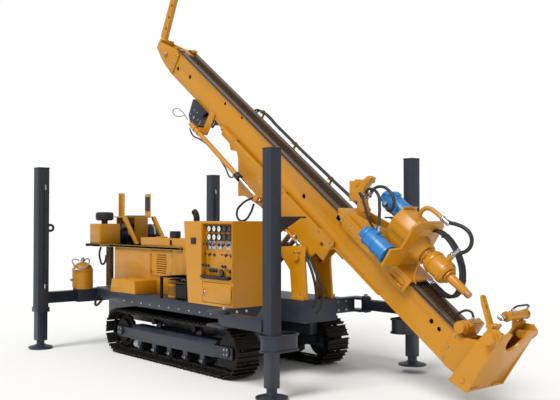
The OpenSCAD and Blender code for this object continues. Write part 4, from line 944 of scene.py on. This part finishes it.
grease = greased_rail()
bars = [block((318, 336.6), (sign * 54.5, sign * 125.6) if sign > 0 else (-125.6, -54.5),
              (89, 5181), 2)
        for sign in (-1, 1)]
settle(bars, "guide_rails", grease, "mast", MAST)
bolts("rail_bolts", [(332.5, sign * 70, s) for s in range(170, 5150, 240) for sign in (-1, 1)],
      (1, 0, 0), 5,
      grease, "mast", MAST)

# Feed chain: a roller chain of two plates a link on hardened pins, oiled, drawn at a pitch of
# 50 mm so that its links still show.
chain = []
link = joined([block((324, 340.5), (-19, -13), (-24, 24), 1), block((324, 340.5), (13, 19),
    (-24, 24), 1),
               rod((332, -16, 0), (332, 16, 0), 7, 0.8, 10)])
for i in range(97):
    copy = bpy.data.objects.new("link", link.data.copy())
    bpy.context.scene.collection.objects.link(copy)
    copy.matrix_basis = Matrix.Translation((0, 0, (165 + i * 50) / 1000)) @ link.matrix_basis
    chain.append(copy)
bpy.data.objects.remove(link)
bed = block((318, 325), (-21, 21), (141, 5039), 1)
links = settle(chain + [bed], "feed_chain_links", grease, "mast", MAST)
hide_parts("feed_chain")

# Mast head and jib: plates welded to the beam's top with the sheave of the winch rope between
# them, and a swinging jib arm of plate on an upright pin.
HEAD_SIDE = [(20, 5110), (290, 5110), (290, 5260), (210, 5619), (120, 5619), (60, 5450), (20, 5260)]
crown = [plate(HEAD_SIDE, sign * 95, sign * 111, 4) for sign in (-1, 1)]
crown += [block((0, 318), (-95, 95), (5200, 5212), 3), block((120, 240), (-96, 96), (5596, 5620),
    3)]
crown.append(turned([(0, -24), (110, -24), (110, -18), (98, -8), (96, 0), (98, 8), (110, 18),
                     (110, 24), (0, 24)],
                    (150, 0, 5370), (0, -1, 0), 44))
crown.append(rod((150, -125, 5370), (150, 125, 5370), 38, 3))
crown.append(rod((190, 0, 5619), (190, 0, 5712), 29.5, 3))
settle(crown, "mast_crown", yellow, "mast", MAST)
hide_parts("mast_head")
dressed("jib_arm", yellow, 3)
bolts("sheave_pin_nuts", [(150, -125, 5370)], (0, -1, 0), 22, zinc, "mast", MAST)
bolts("mast_head_bolts", [(t, -111, s) for t in (50, 150, 250) for s in (5130, 5180)], (0, -1, 0),
      9, zinc,
      "mast", MAST)
bolts("jib_top_nut", [(190, 0, 5714)], (0, 0, 1), 24, zinc, "jib", MAST)
stop = joined([block((336, 366), (62, 118), (5085, 5125), 3), block((336, 350), (-118, -62),
    (5085, 5125), 3)])
settle(stop, "rail_stops", yellow, "mast", MAST)

# Slide cylinder: a slim barrel clamped to the mast's side and a chromed rod held by the carriage,
# with a black screwed gland and a hose at each port.
barrel = joined([turned([(16.5, 3100), (27, 3100), (27, 4246), (22, 4250), (0, 4250)],
                        (SLIDE_T, SLIDE_Y, 0), (0, 0, 1), 32),
                 block((-220, 60), (-107, -95), (4035, 4145), 4),
                 block((-220, -180), (-202, -106), (4035, 4145), 3)])
settle(barrel, "slide_barrel_tube", yellow, "mast", MAST)
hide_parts("slide_barrel")
gland = turned([(15.5, 0), (38, 0), (38, 72), (34, 76), (27.5, 76)], (SLIDE_T, SLIDE_Y, 3099),
               (0, 0, 1), 28)
settle(gland, "slide_gland", black, "mast", MAST)
clamp = joined([turned([(27.3, 0), (36, 0), (36, 18), (27.3, 18)], (SLIDE_T, SLIDE_Y, s), (0, 0, 1),
                       28)
                for s in (4040, 4122)])
settle(clamp, "slide_clamps", yellow, "mast", MAST)
bolts("slide_bracket_bolts", [(t, -107, s) for t in (10, 45) for s in (4055, 4125)], (0, -1, 0), 8,
      zinc, "mast",
      MAST)
slide_ports = [fitting((-236, -222, s + 30), (1, 0, 0.001), 8) for s in (3180, 4190)]
settle(slide_ports, "slide_ports", zinc, "mast", MAST)
slide_line = hose([(-262, -222, 3210), (-290, -214, 3260), (-262, -196, 3420), (-240, -188, 3700),
                   (-262, -196, 4000), (-292, -214, 4140), (-262, -222, 4220)], 9)
settle(slide_line, "slide_hose", rubber, "mast", MAST)

# Hose lines beyond the far rail: two rubber hoses in yellow bent brackets that stand off the
# mast's far side, from a hoop near the top down to a union block.
lines, brackets = [], []
for k, y in enumerate((182, 207)):
    lines.append(hose([(120, y, 3760 - k * 20), (220, y, 3780 - k * 20), (320, y, 3745 - k * 20),
                       (357, y, 3640),
                       (357, y, 3300), (354, y, 2800), (357, y, 2300), (357, y, 1700),
                       (340, y, 1560),
                       (260, y, 1470), (180, y - 4, 1440)], 11))
settle(lines, "mast_hoses", rubber, "mast", MAST)
for s in (3640, 2980, 2300, 1700):
    brackets += [block((130, 146), (95, 222), (s - 16, s + 16), 3),
                 block((130, 366), (214 + 6, 228), (s - 16, s + 16), 3),
                 block((340, 344), (168, 222), (s - 16, s + 16), 1)]
brackets += [hose([(344, 172, s), (372, 174, s), (376, 194, s), (372, 216, s), (344, 220, s)], 4,
                  2) for s in (3640, 1700)]
settle(brackets, "hose_brackets", yellow, "mast", MAST)
union = block((150, 200), (95, 220), (1400, 1436), 4)
settle(union, "hose_union", zinc, "mast", MAST)

# Winch: a small hydraulic hoist in a navy plate frame under the mast, its drum wound with one
# layer of 12 mm wire rope.
DRUM_T, DRUM_S = -165, 4350
WINCH_SIDE = [(-14, 4200), (-14, 4500), (-200, 4470), (-270, 4380), (-240, 4260)]
hoist = [bored(plate(WINCH_SIDE, sign * 116, sign * 130, 3), rod((DRUM_T, 100 * sign, DRUM_S),
    (DRUM_T, 140 * sign, DRUM_S), 21, 0))
         for sign in (-1, 1)]
hoist += [block((-14, 0), (-130, 130), (4200, 4500), 3), block((-276, -264), (-130, 130),
    (4310, 4400), 3)]
settle(hoist, "winch_side_plates", navy, "mast", MAST)
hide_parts("winch_frame")
finished("winch_drum", zinc)
ties = [rod((t, -128, s), (t, 128, s), 11) for t, s in ((-185, 4440), (-60, 4450), (-235, 4330))]
settle(ties, "winch_ties", yellow, "mast", MAST)
motor = turned([(0, 0), (40, 0), (52, 6), (71, 10), (71, 80), (60, 90), (60, 118), (0, 120)],
               (DRUM_T, 240, DRUM_S),
               (0, -1, 0))
settle(motor, "winch_motor", navy, "mast", MAST)
bolts("winch_bolts", [(DRUM_T + 85 * math.cos(a), -130, DRUM_S + 85 * math.sin(a))
                      for a in (0.5, 1.6, 2.7, 3.8, 4.9, 6.0)],
      (0, -1, 0), 8, zinc, "mast", MAST)


def wire_rope():
    """Six-strand steel rope, lightly oiled: grey strands that wind across it at 40 mm a turn"""
    made, tree, out = new_material("oiled_wire_rope", "bright_steel")
    place = add(tree, "TexCoord").outputs["Object"]
    strand = add(tree, "TexWave", {"Vector": place, "Scale": 1 / 0.0066 / 6.28, "Distortion": 0.6},
                 bands_direction="DIAGONAL")
    tone = add(tree, "Mix", {0: strand.outputs["Fac"], 6: linear("#4A4744"), 7: linear("#96938E")},
               data_type="RGBA")
    bump = add(tree, "Bump", {"Height": strand.outputs["Fac"], "Strength": 0.5, "Distance": 0.002})
    skin = add(tree, "BsdfPrincipled", {"Base Color": tone.outputs[2], "Roughness": 0.42,
                                        "Metallic": 0.9,
                                        "Normal": bump.outputs[0]})
    tree.links.new(skin.outputs[0], out.inputs[0])
    return made


rope = wire_rope()
turns = [(DRUM_T + 66 * math.cos(k * math.tau / 12), -92 + k * 12.2 / 12,
          DRUM_S + 66 * math.sin(k * math.tau / 12))
         for k in range(12 * 15 + 1)]
settle(hose(turns, 6, 2), "rope_turns", rope, "winch_drum", MAST)
loop = [(-262, -120, 4560), (-320, -128, 4640), (-352, -132, 4720), (-330, -136, 4780),
        (-270, -134, 4740),
        (-240, -128, 4640), (-248, -122, 4540), (-262, -118, 4470)]
settle(hose(loop, 5, 2), "rope_loop", rope, "mast", MAST)

# Foot of the mast: two guide tables between side plates hold the pipes, with clamp cylinders, a
# breakout cylinder and a fork wrench. Flame-cut plate and welded, sprayed yellow.
AXIS, CLAMP_S, WRENCH_T, WRENCH_S = 580, -285, 690, -185
TABLE_SIDE = [(22, -172), (66, -360), (650, -340), (668, -290), (620, -216), (498, -200)]
CHEEK = [(0, 0), (22, -200), (440, -215), (440, -190), (310, 0), (310, 90), (60, 90)]
PRONG = [(575, -182), (615, -182), (752, 8), (734, 18), (700, -15)]
foot = []
for sign in (-1, 1):
    foot += [plate(TABLE_SIDE, sign * 236, sign * 256, 3), plate(CHEEK, sign * 95, sign * 107, 3),
             block((90, 102), sorted((sign * 106, sign * 237)), (-344, -211), 2)]
foot += [block((0, 310), (-96, 96), (-16, 0), 3), block((50, 64), (-237, 237), (-345, -190), 3),
         block((570, 630), (-200, -112), (-211, -181), 4),
         plate([(575, -182), (615, -182), (690, -70), (660, -55)], -175, -149, 2)]
foot += [plate(PRONG, y, y + 16, 3) for y in (-190, -150)]
for s in (-230, -345):
    foot.append(bored(block((63, 650), (-237, 237), (s, s + 20), 3),
                      rod((AXIS, 0, s - 10), (AXIS, 0, s + 30), 110, 0, 48),
                      block((AXIS, 700), (-110, 110), (s - 10, s + 30), 0)))
settle(foot, "foot_tables", yellow, "mast", MAST)
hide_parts("foot_table")
clamps = []
for sign in (-1, 1):
    clamps.append(turned([(0, 0), (60, 0), (60, 14), (48, 16), (48, 64), (42, 72), (0, 72)],
                         (AXIS, sign * 256, CLAMP_S), (0, sign, 0)))
    clamps.append(turned([(0, 0), (28, 0), (28, 100), (34, 102), (34, 108), (0, 108)],
                         (AXIS, sign * 238, CLAMP_S), (0, -sign, 0)))
clamps.append(turned([(0, 0), (36, 0), (36, 286), (32, 290), (0, 290)], (WRENCH_T, -40, WRENCH_S),
                     (0, 1, 0)))
clamps += [plate([(574, -211), (640, -211), (712, -205), (724, -185), (712, -150), (670, -150)], y,
                 y + 20, 3) for y in (110, 200)]
settle(clamps, "clamp_barrels", yellow, "mast", MAST)
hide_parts("clamp_cylinders")
dressed("feed_motor", yellow, 3)
jaws = []
for sign in (-1, 1):
    jaws.append(turned([(28.5, 0), (38, 0), (38, 16), (28.5, 18)], (AXIS, sign * 236, CLAMP_S),
                       (0, -sign, 0)))
    jaws.append(turned([(48, 0), (55, 0), (55, 14), (48, 16)], (AXIS, sign * 258, CLAMP_S),
                       (0, sign, 0)))
    jaws.append(turned([(0, 0), (34, 0), (40, 5), (40, 10), (0, 12)], (AXIS, sign * 318, CLAMP_S),
                       (0, sign, 0)))
settle(jaws, "clamp_glands", yellow, "mast", MAST)
bolts("clamp_bolts", [(AXIS + 62 * math.cos(a), sign * 256, CLAMP_S + 36 * math.sin(a))
                      for a in (0.6, 2.54, 3.74, 5.68) for sign in (-1,)], (0, -1, 0), 9, zinc,
                      "mast", MAST)
bolts("clamp_bolts_left", [(AXIS + 62 * math.cos(a), 256, CLAMP_S + 36 * math.sin(a))
                           for a in (0.6, 2.54, 3.74, 5.68)],
      (0, 1, 0), 9, zinc, "mast", MAST)
plugs = [turned([(0, 0), (24, 0), (24, 6), (18, 9), (0, 9)], (t, -256, s), (0, -1, 0))
         for t, s in ((560, -232), (118, -270))]
settle(plugs, "table_pins", yellow, "mast", MAST)
bolts("table_bolts", [(t, -107, s) for t, s in ((40, 50), (150, 60), (270, 60), (60, -120),
    (220, -150), (350, -180))],
      (0, -1, 0), 10, zinc, "mast", MAST)
ribs = [block((100, 560), (sign * 236, sign * 228) if sign < 0 else (228, 236), (-212, -204), 2)
        for sign in (-1, 1)]
ribs += [block((60, 90), (-232, -112), (-352, -345), 2), block((60, 90), (112, 232), (-352, -345),
    2)]
settle(ribs, "table_ribs", yellow, "mast", MAST)
wrench = [turned([(36, 0), (42, 0), (42, 18), (36, 20)], (WRENCH_T, -22, WRENCH_S), (0, -1, 0)),
          turned([(36, 0), (41, 0), (41, 14), (36, 16)], (WRENCH_T, 236, WRENCH_S), (0, 1, 0)),
          block((716, 740), (196, 226), (-200, -170), 3), block((716, 740), (-22, 8), (-200, -170),
              3)]
settle(wrench, "wrench_collars", yellow, "mast", MAST)
rod_eye = joined([rod((WRENCH_T, -96, WRENCH_S), (WRENCH_T, -42, WRENCH_S), 18.4, 1),
                  rod((690, -112, -203), (690, -112, -167), 24, 3),
                  rod((690, -112, -212), (690, -112, -158), 11, 1)])
settle(rod_eye, "wrench_rod", chrome, "mast", MAST)
ends = [fitting((746, 211, -185), (-1, 0, 0), 8), fitting((746, -7, -185), (-1, 0, 0), 8),
        fitting((460, -40, 40), (-1, 0, -0.2), 9)]
settle(ends, "wrench_ports", zinc, "mast", MAST)
hoses = [hose([(488, -44, 46), (510, -52, 70), (500, -58, 110), (450, -60, 150), (395, -58, 172),
               (350, -60, 178)], 10),
         hose([(770, -7, -185), (782, 4, -184), (786, 100, -178), (782, 200, -184),
               (770, 211, -185)], 8)]
settle(hoses, "foot_hoses", rubber, "mast", MAST)
motor_parts = [turned([(0, 0), (46, 0), (54, 6), (54, 26), (46, 30), (0, 30)], (378, -70, 50),
                      (0, -1, 0)),
               block((322, 436), (108, 114), (4, 66), 2), block((438, 445), (-50, 90), (10, 60), 2)]
settle(motor_parts, "feed_motor_flange", yellow, "mast", MAST)
bolts("feed_motor_bolts", [(445, y, s) for y in (-36, 76) for s in (20, 50)], (1, 0, 0), 8, zinc,
      "mast", MAST)
prongs = [rod((742, -174 - 4, 16), (742, -146 + 4, 16), 11, 2, 20),
          rod((700, -192, -40), (700, -132, -40), 14, 2, 20),
          rod((592, -196, -172), (592, -128, -172), 16, 2, 20)]
settle(prongs, "fork_pins", yellow, "mast", MAST)

# Drill head: a welded sledge that hooks round the rails carries a cast gearbox with its swivel
# housing, two hydraulic motors under blue enamel, and the water pipe bent over its top.
blue = enamel("blue_enamel_on_motor", "blue_paint", "#2A83C6", "#2273B2", "#7D8C96", 0.34, 0.25)
SLEDGE_SIDE = [(356, 650), (230, 670), (215, 770), (250, 1180), (250, 1580), (356, 1740)]
HOOK = [(377, 1600), (505, 1672), (445, 1758), (601, 1871), (688, 1741), (776, 1700), (782, 1652),
        (657, 1672),
        (581, 1650), (503, 1560), (377, 1470)]
sledge = [block((355, 378), (-158, 158), (650, 1740), 4), plate(HOOK, -38, 38, 5)]
for sign in (-1, 1):
    sledge.append(plate(SLEDGE_SIDE, sign * 146, sign * 158, 3))
    for s in (670, 1520):
        sledge += [block((268, 356), sorted((sign * 126.6, sign * 147)), (s, s + 200), 2),
                   block((268, 316.4), sorted((sign * 96.6, sign * 147)), (s, s + 200), 2),
                   block((338, 356), sorted((sign * 60, sign * 127)), (s, s + 200), 2)]
sledge += [plate([(377, 1148), (377, 1600), (430, 1600), (500, 1300), (560, 1148)], y, y + 20, 3)
           for y in (-130, 110)]
settle(sledge, "sledge", yellow, "head", MAST)
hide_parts("head_sledge")


def level_plate(points, z0, z1, edge=3):
    """A flat plate square to the mast: its outline in x and y is extruded upwards"""
    piece = plate([(x, y) for x, y in points], -z1, -z0, edge)
    piece.matrix_basis = Matrix(((1, 0, 0, 0), (0, 0, 1, 0), (0, -1, 0, 0), (0, 0, 0, 1)))
    return piece


casting = level_plate([(377, -150), (377, 150), (700, 150), (790, 90), (790, -90), (700, -150)],
                      850, 1150, 10)
seat = level_plate([(377, -350), (377, 200), (800, 200), (850, 150), (850, -150), (800, -215),
                    (566, -215),
                    (556, -350)], 856, 880, 3)
swivel = turned([(0, 600), (46, 600), (46, 460), (82, 460), (100, 480), (100, 670), (88, 690),
                 (60, 705), (60, 745),
                 (96, 745), (126, 851), (0, 851)], (AXIS, 0, 0), (0, 0, 1), 48)
port = turned([(0, 0), (26, 0), (26, 40), (30, 42), (30, 54), (0, 54)], (AXIS + 96, 0, 533),
              (1, 0, 0.05))
neck = hose([(770, 0, 985), (830, 0, 1012), (890, 0, 1002), (928, 0, 955), (940, 0, 880),
             (940, 0, 800)], 20, 5)
gear = [casting, seat, swivel, port, neck, block((628, 812), (-72, 112), (1140, 1151), 3),
        block((740, 800), (-34, 34), (950, 1020), 5)]
settle(gear, "gearbox", yellow, "head", MAST)
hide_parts("head_gearbox")
dressed("head_motors", blue, 3)
MOTORS = ((720, 20, 1150, 300, 88), (470, -290, 900, 340, 84))
rims = []
for t, y, s, length, radius in MOTORS:
    rims.append(turned([(radius - 6, 0), (radius + 9, 0), (radius + 9, 18), (radius - 6, 20)],
                       (t, y, s)))
    rims.append(turned([(radius - 6, 0), (radius + 5, 1), (radius + 5, 12), (radius - 6, 13)],
                       (t, y, s + length - 74)))
    rims.append(turned([(radius - 6, 0), (radius + 4, 1), (radius + 4, 9), (radius - 6, 10)],
                       (t, y, s + length * 0.45)))
    rims.append(turned([(0, -4), (radius - 34, -4), (radius - 34, 6), (radius - 44, 12), (0, 12)],
                       (t, y, s + length)))
    rims.append(block((t + 20, t + radius + 16), (y - 34, y + 34),
                      (s + length * 0.55, s + length * 0.55 + 56), 5))
settle(rims, "motor_rims", blue, "head", MAST)
for name, (t, y, s, length, radius) in zip(("upper", "lower"), MOTORS):
    bolts(name + "_motor_bolts", bolt_circle(t, y, s + length - 60, radius - 15,
                                             (0.4, 1.45, 2.5, 3.55, 4.6, 5.65)),
          (0, 0, 1), 8, zinc, "head", MAST)
bolts("flange_bolts", [(t, 178, 880) for t in (430, 560, 690, 780)] + [(t, -192, 880)
    for t in (610, 700, 782)]
      + [(830, y, 880) for y in (-100, 0, 100)], (0, 0, 1), 11, zinc, "head", MAST)
bolts("gearbox_bolts", [(t, y, 1150) for t in (410, 480) for y in (-90, 0, 90)], (0, 0, 1), 10,
      zinc, "head", MAST)
beads = [block((t, t + 60), (-156, -149), (905, 1105), 3) for t in (400, 500, 600)]
beads.append(turned([(98, 0), (106, 2), (106, 26), (98, 28)], (AXIS, 0, 490)))
beads.append(turned([(98, 0), (105, 2), (105, 18), (98, 20)], (AXIS, 0, 630)))
beads.append(turned([(58, 0), (72, 2), (72, 14), (58, 16)], (AXIS, 0, 722)))
settle(beads, "housing_ribs", yellow, "head", MAST)
bolts("housing_bolts", bolt_circle(AXIS, 0, 690, 80, (0.3, 1.35, 2.4, 3.5, 4.5, 5.6)),
      (0, 0, 1), 8, zinc, "head", MAST)
wires = []
for r, s, lean in ((72, 738, 12), (78, 716, -10)):
    wires.append(hose([(AXIS + r * math.cos(a), r * math.sin(a), s + lean * math.cos(a))
                       for a in [0.15 + k * math.tau * 0.95 / 14 for k in range(15)]], 5, 2))
wires.append(hose([(AXIS - 60, -60, 725), (AXIS - 110, -100, 700), (392, -140, 640),
                   (384, -150, 600)], 5, 2))
settle(wires, "neck_wires", yellow, "head", MAST)

# Water pipe and its hose: a bent steel pipe with a pressed fitting, and a rubber hose looped down
# to the side port of the swivel.
water = hose([(940, 0, 770), (955, 4, 710), (985, 8, 640), (1004, 10, 560), (992, 10, 485),
              (944, 8, 438),
              (884, 6, 432), (826, 4, 462), (780, 2, 508)], 17, 5)
settle(water, "water_hose", rubber, "head", MAST)
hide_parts("swivel_hose")
collars = [fitting((940, 0, 770), (0, 0, 1), 18), fitting((768, 1, 520), (-0.93, -0.03, 0.36), 18)]
settle(collars, "water_fittings", zinc, "head", MAST)
nuts = [rod((736, 0, 536), (712, 0, 535), 27, 2, 6)]
settle(nuts, "water_pipe_nuts", yellow, "head", MAST)

# Oil hoses of the head: rubber hoses in zinc plated fittings from the hook bracket over to the two
# motors, and a bundle tied with bands that hangs beyond the swivel.
ends = []
arch = [hose([(640, -52, 1560), (720, -78, 1540), (806, -96, 1470), (842, -104, 1360),
              (816, -112, 1262),
              (752, -124, 1212), (700, -120, 1240), (716, -96, 1330)], 14),
        hose([(610, -56, 1590), (690, -104, 1575), (760, -150, 1490), (776, -190, 1370),
              (716, -226, 1270),
              (650, -250, 1200), (578, -286, 1118)], 14),
        hose([(575, -60, 1620), (640, -150, 1600), (680, -230, 1500), (660, -290, 1380),
              (590, -300, 1250),
              (540, -276, 1160)], 11)]
settle(arch, "head_hoses", rubber, "head", MAST)
for spot, toward, r in (((655, -56, 1556), (-0.9, 0.3, 0.2), 14),
                        ((625, -62, 1590), (-0.9, 0.4, 0.1), 14),
                        ((588, -70, 1620), (-0.8, 0.5, 0.1), 11),
                        ((716, -92, 1336), (-0.3, 0.6, 0.4), 14),
                        ((572, -288, 1112), (-1, 0, -0.3), 14), ((540, -272, 1154), (-1, 0.2, -0.2),
                            11)):
    ends.append(fitting(spot, toward, r))
settle(ends, "head_fittings", zinc, "head", MAST)
manifold = joined([block((540, 612), (-58, -38), (1560, 1650), 4),
                   block((500, 560), (-62, -38), (1130, 1210), 4)])
settle(manifold, "hose_manifold", yellow, "head", MAST)
bundle = [hose([(700, y, 900), (770, y + 4, 840), (790, y + 6, 740), (772, y + 4, 620),
                (718, y, 500), (630, y - 4, 400),
                (520, y - 6, 350), (428, y - 6, 360), (378, y - 4, 430), (364, y, 540),
                (366, y, 640)], 14)
          for y in (70, 99, 128)]
settle(bundle, "hose_bundle", rubber, "head", MAST)
bands = []
for t, s, turn in ((788, 740, 0.1), (745, 560, 0.5), (575, 372, 1.2)):
    bands.append(block((t - 17, t + 17), (52, 150), (s - 5, s + 5), 3))
settle(bands, "bundle_bands", black, "head", MAST)
outlets = [fitting((700, y, 905), (-0.4, 0, 0.9), 14) for y in (70, 99, 128)]
outlets += [fitting((366, y, 640), (0, 0, 1), 12) for y in (70, 99, 128)]
settle(outlets, "bundle_fittings", zinc, "head", MAST)

# Sledge fittings: a bolted wear bracket with pipe clamps on the near cheek, and the hook's welded
# cheeks.
bracket = joined([block((240, 330), (-166, -158), (700, 860), 3),
                  block((262, 286), (-184, -166), (715, 740), 3),
                  block((262, 286), (-184, -166), (815, 840), 3),
                  rod((274, -184, 690), (274, -184, 870), 8, 1)])
settle(bracket, "sledge_bracket", yellow, "head", MAST)
bolts("sledge_bolts", [(t, -158, s) for t in (290, 335) for s in (940, 1060, 1180, 1400, 1520,
    1640)], (0, -1, 0), 9,
      zinc, "head", MAST)
bolts("sledge_bolts_left", [(t, 158, s) for t in (290, 335) for s in (760, 940, 1180, 1400, 1640)],
      (0, 1, 0), 9,
      zinc, "head", MAST)
cheeks = [rod((t, -44, s), (t, 44, s), r, 2) for t, s, r in ((640, 1780, 34), (735, 1672, 22),
    (480, 1560, 26))]
settle(cheeks, "hook_bosses", yellow, "head", MAST)

# Spindle: a forged steel nose with a threaded pin end, sprayed yellow over the gland ring.
nose = turned([(0, 190), (26, 190), (30, 194), (30, 240), (34, 248), (42, 420), (42, 580),
               (0, 580)], (AXIS, 0, 0), (0, 0, 1), 36)
settle(nose, "spindle_nose", yellow, "spindle", MAST)
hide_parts("spindle")
ring = turned([(42.5, 0), (66, 0), (66, 10), (60, 14), (42.5, 14)], (AXIS, 0, 440), (0, 0, 1), 36)
settle(ring, "spindle_gland", yellow, "spindle", MAST)
thread = [turned([(30, 0), (33, 2), (30, 4)], (AXIS, 0, 196 + k * 8)) for k in range(5)]
settle(thread, "spindle_thread", zinc, "spindle", MAST)
